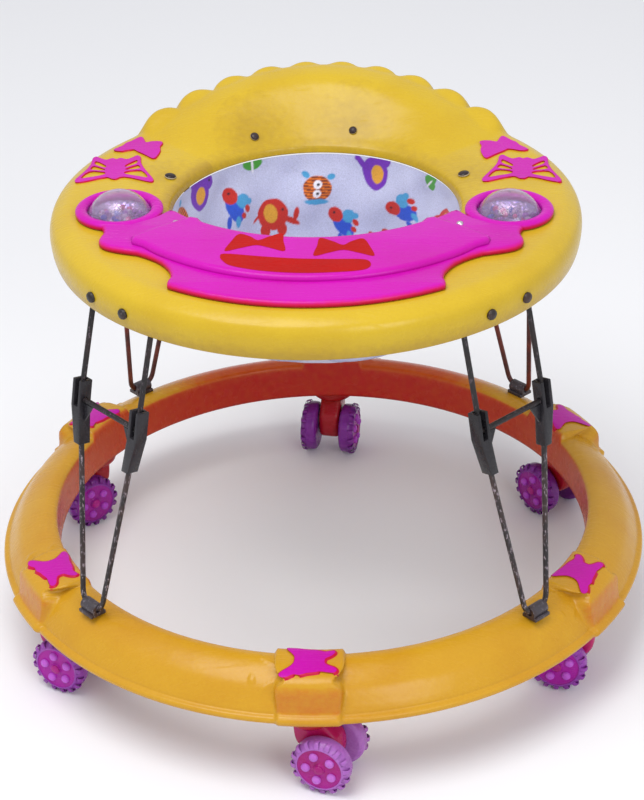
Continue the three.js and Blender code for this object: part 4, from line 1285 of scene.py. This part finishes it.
for place, azimuth in leg_azimuths.items():
    for letter, side in (("a", 1), ("b", -1)):
        softened(f"knee_clip_{place}_{letter}", f"clip_{place}_{letter}", 0.0011,
                 "lower_leg_" + place, clip_paint)
        share_low = 1 - 0.019 / lower_run.length
        out_of = Vector((lower_run.z, 0, -lower_run.x)).normalized()
        web = []
        for thick in (-0.0009, 0.0009):
            for along, share in ((knee_half - 0.006, 1 - 0.003 / lower_run.length),
                                 (knee_half - 0.0175, 1 - 0.003 / lower_run.length),
                                 (knee_half - 0.0085, share_low)):
                out = foot_out + lower_run.x * share + out_of.x * thick
                up = foot_up + lower_run.z * share + out_of.z * thick
                web.append(leg_point(azimuth, out, side * along, up))
        add_mesh(f"gusset_{place}_{letter}", web,
                 [(0, 1, 2), (5, 4, 3), (0, 3, 4, 1), (1, 4, 5, 2), (2, 5, 3, 0)],
                 "lower_leg_" + place, (), clip_paint, smooth=False)

# ---- leg brackets and rivets --------------------------------------------------------------
# Folded steel saddles riveted to the ring hold the feet of the legs; hangers riveted inside the
# skirt hold their tops, with dark rivet heads showing outside.
saddle_paint = coated_wire(
    "saddle_steel", colour(60, 54, 60), colour(132, 126, 134), colour(54, 36, 34), 0.02,
)
hanger_paint = coated_wire(
    "hanger_steel", colour(30, 22, 22), colour(110, 100, 98), colour(58, 36, 28), 0.02,
)
rivet_profile = [
    (-0.002, 0.0001), (-0.002, 0.0046), (0.0004, 0.0049), (0.0016, 0.0043), (0.0025, 0.0028),
    (0.0029, 0.0002),
]
for place in leg_azimuths:
    softened(f"base_bracket_{place}", f"saddle_{place}", 0.0009, "base", saddle_paint)
    softened(f"tray_bracket_{place}", f"hanger_{place}", 0.0009, "tray", hanger_paint)
for place, azimuth in leg_azimuths.items():
    for side in (-1, 1):
        centre = leg_point(azimuth, 0.2395, side * 0.0215, tray_up + 0.003)
        outward = (leg_point(azimuth, 1, 0, 0) - leg_point(azimuth, 0, 0, 0)).normalized()
        points, faces = turned_about(rivet_profile, centre, outward, upright, 28)
        add_mesh(f"rivet_head_{place}_{'a' if side > 0 else 'b'}", points, faces, "tray",
                 (), hanger_paint)

# ---- seat sling ---------------------------------------------------------------------------
# A bowl of white woven cotton gathered under the lip of the opening and held by the studs, with
# two leg holes at the front. It is printed with small animals of this maker's own drawing.
sling_low = 186.0


def sling_line(azimuth):
    a = math.radians(azimuth)
    opening = opening_at(azimuth)
    front = opening / seat_radius
    floor_rise = 26 * max(0.0, -math.sin(a))
    return round_line([
        (opening + 1.2, 339.6), (opening * 0.985, 321.8), (opening * 0.93, 295.8),
        (opening * (0.87 + 0.02 * front), 263.8), (opening * 0.8, 233.8),
        (opening * 0.66, 208 + floor_rise), (opening * 0.42, 194 + 0.7 * floor_rise),
        (opening * 0.18, 187 + 0.25 * floor_rise), (opening * 0.012, sling_low),
    ], 26)


# Animals, each drawn with ellipses in its own flat frame: (x, y, half width, half height, turn,
# colour), painted in turn. Their colours are the ink's.
ink = {
    "red": (200, 44, 34), "amber": (222, 160, 52), "violet": (112, 44, 176), "blue": (44, 84, 200),
    "sky": (76, 158, 206), "orange": (226, 116, 34), "green": (70, 158, 52), "dark": (38, 26, 40),
    "white": (240, 238, 246), "brown": (120, 54, 30),
}
animals = {
    "elephant": [
        (0, 2, 15, 16, 0, "red"), (-9, -14, 5, 7, 0, "red"), (8, -14, 5, 7, 0, "red"),
        (18, -6, 9, 3.2, -28, "red"), (23, 1, 2.6, 7, -12, "red"), (-17, 0, 5, 1.4, 38, "red"),
        (-2, 3, 6.6, 9.6, 6, "amber"), (10, 6, 1.3, 1.3, 0, "dark"),
    ],
    "hippo": [
        (0, -2, 13, 16, 0, "violet"), (9, 11, 8, 8, 0, "violet"), (-12, 8, 3, 10, 22, "violet"),
        (-15, 15, 2.0, 4, -30, "violet"), (2, -3, 6.4, 9, -8, "amber"), (12, 13, 1.3, 1.3, 0, "dark"),
    ],
    "dragon": [
        (0, 0, 8, 14, 32, "blue"), (7, 9, 7, 7, 0, "sky"), (-6, 12, 7, 8, 20, "red"),
        (-5, -14, 2.8, 7, 0, "blue"), (5, -12, 2.8, 6, 10, "sky"), (13, 2, 3, 4, 30, "red"),
        (14, 9, 3.2, 3.2, 0, "sky"), (10, -5, 2.6, 3.4, 30, "red"), (-7, 14, 1.2, 1.2, 0, "dark"),
    ],
    "owl": [
        (0, 0, 14, 13, 0, "orange"), (-12, 13, 4, 3, -30, "sky"), (12, 13, 4, 3, 30, "sky"),
        (0, -13, 12, 3, 0, "sky"), (0, 4.4, 4.2, 4.2, 0, "white"), (0, -4.6, 4.0, 4.0, 0, "white"),
        (0.6, 4.4, 1.5, 1.5, 0, "dark"), (0.6, -4.6, 1.5, 1.5, 0, "dark"),
    ],
    "leaf": [(0, 0, 10, 8, 0, "green"), (0, -8, 5, 7, 12, "green"), (0, 3, 1.2, 8, 0, "white")],
}
# Places on the cloth: animal, azimuth, height, turn and size.
prints = [
    ("owl", 92, 307, -6, 0.98), ("elephant", 113, 283, 0, 1.0), ("dragon", 132, 300, -18, 1.0),
    ("hippo", 150, 329, -22, 0.95), ("leaf", 120, 338, 180, 0.95), ("owl", 167, 318, 30, 0.9),
    ("hippo", 66.5, 327, 10, 1.0), ("dragon", 49, 296, 60, 1.0), ("dragon", 80, 271, 10, 1.0),
    ("leaf", 37, 333, 140, 0.8), ("elephant", 20, 306, -10, 0.9), ("leaf", 88, 240, 0, 0.9),
    ("elephant", 60, 255, 200, 0.9), ("hippo", 140, 255, 90, 0.9), ("owl", 112, 238, 40, 0.9),
    ("dragon", 165, 276, -40, 0.9), ("leaf", 185, 300, 20, 0.9), ("hippo", 205, 318, 10, 0.9),
    ("elephant", 228, 322, 15, 0.9), ("owl", 320, 322, -10, 0.9), ("dragon", 342, 318, 20, 0.9),
    ("leaf", 0, 290, 0, 0.9), ("hippo", 12, 262, 120, 0.9), ("owl", 30, 246, 20, 0.9),
    ("elephant", 268, 300, 0, 0.9), ("leaf", 300, 330, 30, 0.8), ("owl", 190, 262, 70, 0.9),
]

cloth_turns = 760
cloth_rows = [sling_line(360 * i / cloth_turns) for i in range(cloth_turns)]
cloth_columns = len(cloth_rows[0])


def gather(azimuth, height):
    """Folds that run down from the lip, deeper between the studs, and softer creases lower."""
    near = min(abs((azimuth - stud + 180) % 360 - 180) for stud in stud_azimuths.values())
    hang = smooth_step(340, 318, height) * (1 - 0.6 * smooth_step(300, 230, height))
    turn = math.radians(azimuth)
    folds = 1.7 * math.sin(11 * turn + 0.05 * height) + 0.9 * math.sin(23 * turn + math.radians(40))
    creases = 1.3 * math.sin(4 * turn + 0.075 * height) * math.sin(7 * turn + 0.04 * height)
    pull = 1.6 * math.exp(-((near / 9) ** 2)) * smooth_step(341, 326, height)
    slack = 0.5 + min(near, 18) / 26
    depth = folds * hang * slack + creases * smooth_step(336, 300, height) - pull
    return depth * smooth_step(188, 214, height)


leg_hole_turn = 42
leg_hole_drop = 0.209
leg_hole_start = Vector((0, 10, sling_low + 62))
leg_axes = []
for side in (-1, 1):
    a = math.radians(-90 + side * leg_hole_turn)
    run = Vector((math.cos(a), math.sin(a), 0)) * math.cos(leg_hole_drop)
    leg_axes.append((leg_hole_start, run + Vector((0, 0, -math.sin(leg_hole_drop)))))
leg_radius = 38.0
cloth_points = []
for i, row in enumerate(cloth_rows):
    azimuth = 360 * i / cloth_turns
    a = math.radians(azimuth)
    for r, z in row:
        radius = r - 0.6 - gather(azimuth, z) if r > 40 else r
        cloth_points.append(Vector((radius * math.cos(a), radius * math.sin(a), z)))
hole_depth = []
for point in cloth_points:
    best = 99.0
    for origin, axis in leg_axes:
        along = (point - origin).dot(axis)
        if along > 10:
            best = min(best, (point - origin - axis * along).length - leg_radius)
    hole_depth.append(best)
faces = [
    f for f in ring_faces(cloth_turns, cloth_columns, closed_columns=False)
    if min(hole_depth[k] for k in f) > -1.2
]
kept = {k for f in faces for k in f}
for k in kept:
    if hole_depth[k] < 0.6:
        for origin, axis in leg_axes:
            along = (cloth_points[k] - origin).dot(axis)
            off = cloth_points[k] - origin - axis * along
            if along > 10 and abs(off.length - leg_radius) < 2.5:
                cloth_points[k] = origin + axis * along + off.normalized() * leg_radius
order = {k: n for n, k in enumerate(sorted(kept))}
faces = [tuple(order[k] for k in f) for f in faces]
kept_points = [cloth_points[k] for k in sorted(kept)]

cloth_spots = np.array([(p.x, p.y, p.z) for p in kept_points])
cloth_azimuth = np.degrees(np.arctan2(cloth_spots[:, 1], cloth_spots[:, 0]))
cloth_reach = np.hypot(cloth_spots[:, 0], cloth_spots[:, 1])
# The ground is a lavender grey, darker than the white cotton. Its pale lavender tint is the cloth's own; the
# darkening is painted shade of the bowl's inside.
cloth_colour = np.tile(np.array(colour(196, 199, 226)), (len(kept_points), 1))
for animal, azimuth, height, turn, size in prints:
    reach = opening_at(azimuth) * 0.93
    across = -np.radians((cloth_azimuth - azimuth + 180) % 360 - 180) * reach
    up = (cloth_spots[:, 2] - height) * 1.04
    c, s = math.cos(math.radians(turn)), math.sin(math.radians(turn))
    u, v = (across * c + up * s) / size, (-across * s + up * c) / size
    for x, y, wide, high, lean, name in animals[animal]:
        c, s = math.cos(math.radians(lean)), math.sin(math.radians(lean))
        p, q = (u - x) * c + (v - y) * s, -(u - x) * s + (v - y) * c
        edge_wave = 1 + 0.012 * np.sin(7 * np.arctan2(q / high, p / wide) + 3 * x)
        inside_share = np.clip((edge_wave - np.hypot(p / wide, q / high)) * min(wide, high) / 0.7 + 0.5, 0, 1)
        inside_share[cloth_reach < 45] = 0
        tone = np.array(colour(*ink[name]))
        if name == "orange":
            stripe = (np.sin(v * 2.1) > 0.1)[:, None]
            tone = np.where(stripe, tone, np.array(colour(*ink["brown"])) * 1.3)
        cloth_colour = cloth_colour * (1 - inside_share[:, None]) + tone * inside_share[:, None]
cloth_colour[:, 3] = 1.0

fabric_paint, fabric_tree = new_finish("printed_cotton", Roughness=0.92, Sheen_Weight=0.25)
fabric_at = object_place(fabric_tree)
dye = add_node(fabric_tree, "ShaderNodeAttribute", attribute_name="dye").outputs["Color"]
threads = noise(fabric_tree, fabric_at, 900.0, 3.0)
thread_tone = remapped(fabric_tree, threads, 0.3, 0.7, 0.82, 1.06)
blotch_tone = remapped(fabric_tree, noise(fabric_tree, fabric_at, 22.0, 4.0), 0.3, 0.7, 0.9, 1.02)
cloth_tone = reckoned(fabric_tree, "MULTIPLY", thread_tone, blotch_tone)
toned = add_node(fabric_tree, "ShaderNodeVectorMath", {0: dye, 1: cloth_tone}, operation="MULTIPLY")
onto_shader(fabric_tree, Base_Color=toned.outputs[0], Normal=dented(fabric_tree, threads, 0.45, 0.0005))
sling = add_mesh(
    "seat_cloth", [spot(*p) for p in kept_points], faces, "tray", ["seat_sling"], fabric_paint,
)
dye_layer = sling.data.color_attributes.new("dye", "FLOAT_COLOR", "POINT")
dye_layer.data.foreach_set("color", cloth_colour.astype(np.float32).ravel())

# Hems of the leg holes: a turned and stitched roll of the same cotton in one colour.
hem_paint, hem_tree = new_finish("cotton_hem", Roughness=0.95)
hem_threads = noise(hem_tree, None, 700.0, 3.0)
onto_shader(
    hem_tree,
    Base_Color=two_tones(hem_tree, hem_threads, colour(150, 150, 182), colour(200, 202, 226)),
    Normal=dented(hem_tree, hem_threads, 0.5, 0.0006),
)
for number, (origin, axis) in enumerate(leg_axes):
    side = axis.cross(Vector((0, 0, 1))).normalized()
    over = side.cross(axis)
    line = []
    for i in range(73):
        t = 2 * math.pi * i / 72
        out = side * math.cos(t) + over * math.sin(t)
        low, high = 20.0, 190.0
        for _ in range(30):
            mid = (low + high) / 2
            p = origin + axis * mid + out * leg_radius
            azimuth = math.degrees(math.atan2(p.y, p.x))
            row = sling_line(azimuth)
            reach = next((r0 + (r1 - r0) * (z0 - p.z) / (z0 - z1)
                          for (r0, z0), (r1, z1) in zip(row, row[1:]) if z1 <= p.z < z0), row[0][0])
            if math.hypot(p.x, p.y) < reach - 0.6 - gather(azimuth, p.z):
                low = mid
            else:
                high = mid
        line.append(spot(*p))
    points, hem_faces = tube(line, 0.0016, 10)
    hem = add_mesh(f"leg_hole_hem_{number + 1}", points, hem_faces, "tray", (), hem_paint)

# ---- seat studs ---------------------------------------------------------------------------
# Dark press studs through shell and cloth: a low domed cap with a bright rim.
stud_paint = moulded("stud_dark", colour(34, 24, 28), colour(70, 58, 60), 0.6)
stud_reach = 15
rim_paint = moulded("stud_rim", colour(190, 178, 150), colour(120, 108, 92), 0.6)
for place, azimuth in stud_azimuths.items():
    a = math.radians(azimuth)
    inward = Vector((-math.cos(a), -math.sin(a), 0))
    skin = tray_skin(azimuth)
    reach = opening_at(azimuth) + stud_reach
    (r0, z0), (r1, z1) = next((p, q) for p, q in zip(skin[30:], skin[31:]) if q[0] <= reach <= p[0])
    lean = math.atan2(z0 - z1, r0 - r1)
    height = z0 + (z1 - z0) * (r0 - reach) / (r0 - r1)
    out = inward * math.sin(lean) + Vector((0, 0, math.cos(lean)))
    centre = spot(reach * math.cos(a), reach * math.sin(a), height)
    points, faces = turned_about(
        [(-0.004, 0.0024), (0.0004, 0.0024), (0.0004, 0.0050), (0.0012, 0.0056), (0.0018, 0.0052)],
        centre, out, inward.cross(out).cross(out), 28,
    )
    add_mesh(f"stud_rim_{place}", points, faces, "tray", (), rim_paint)
    points, faces = turned_about(
        [(0.0012, 0.0050), (0.0022, 0.0047), (0.0029, 0.0032), (0.0031, 0.0001)],
        centre, out, inward.cross(out).cross(out), 28,
    )
    add_mesh(f"stud_cap_{place}", points, faces, "tray", ["seat_stud_" + place], stud_paint)
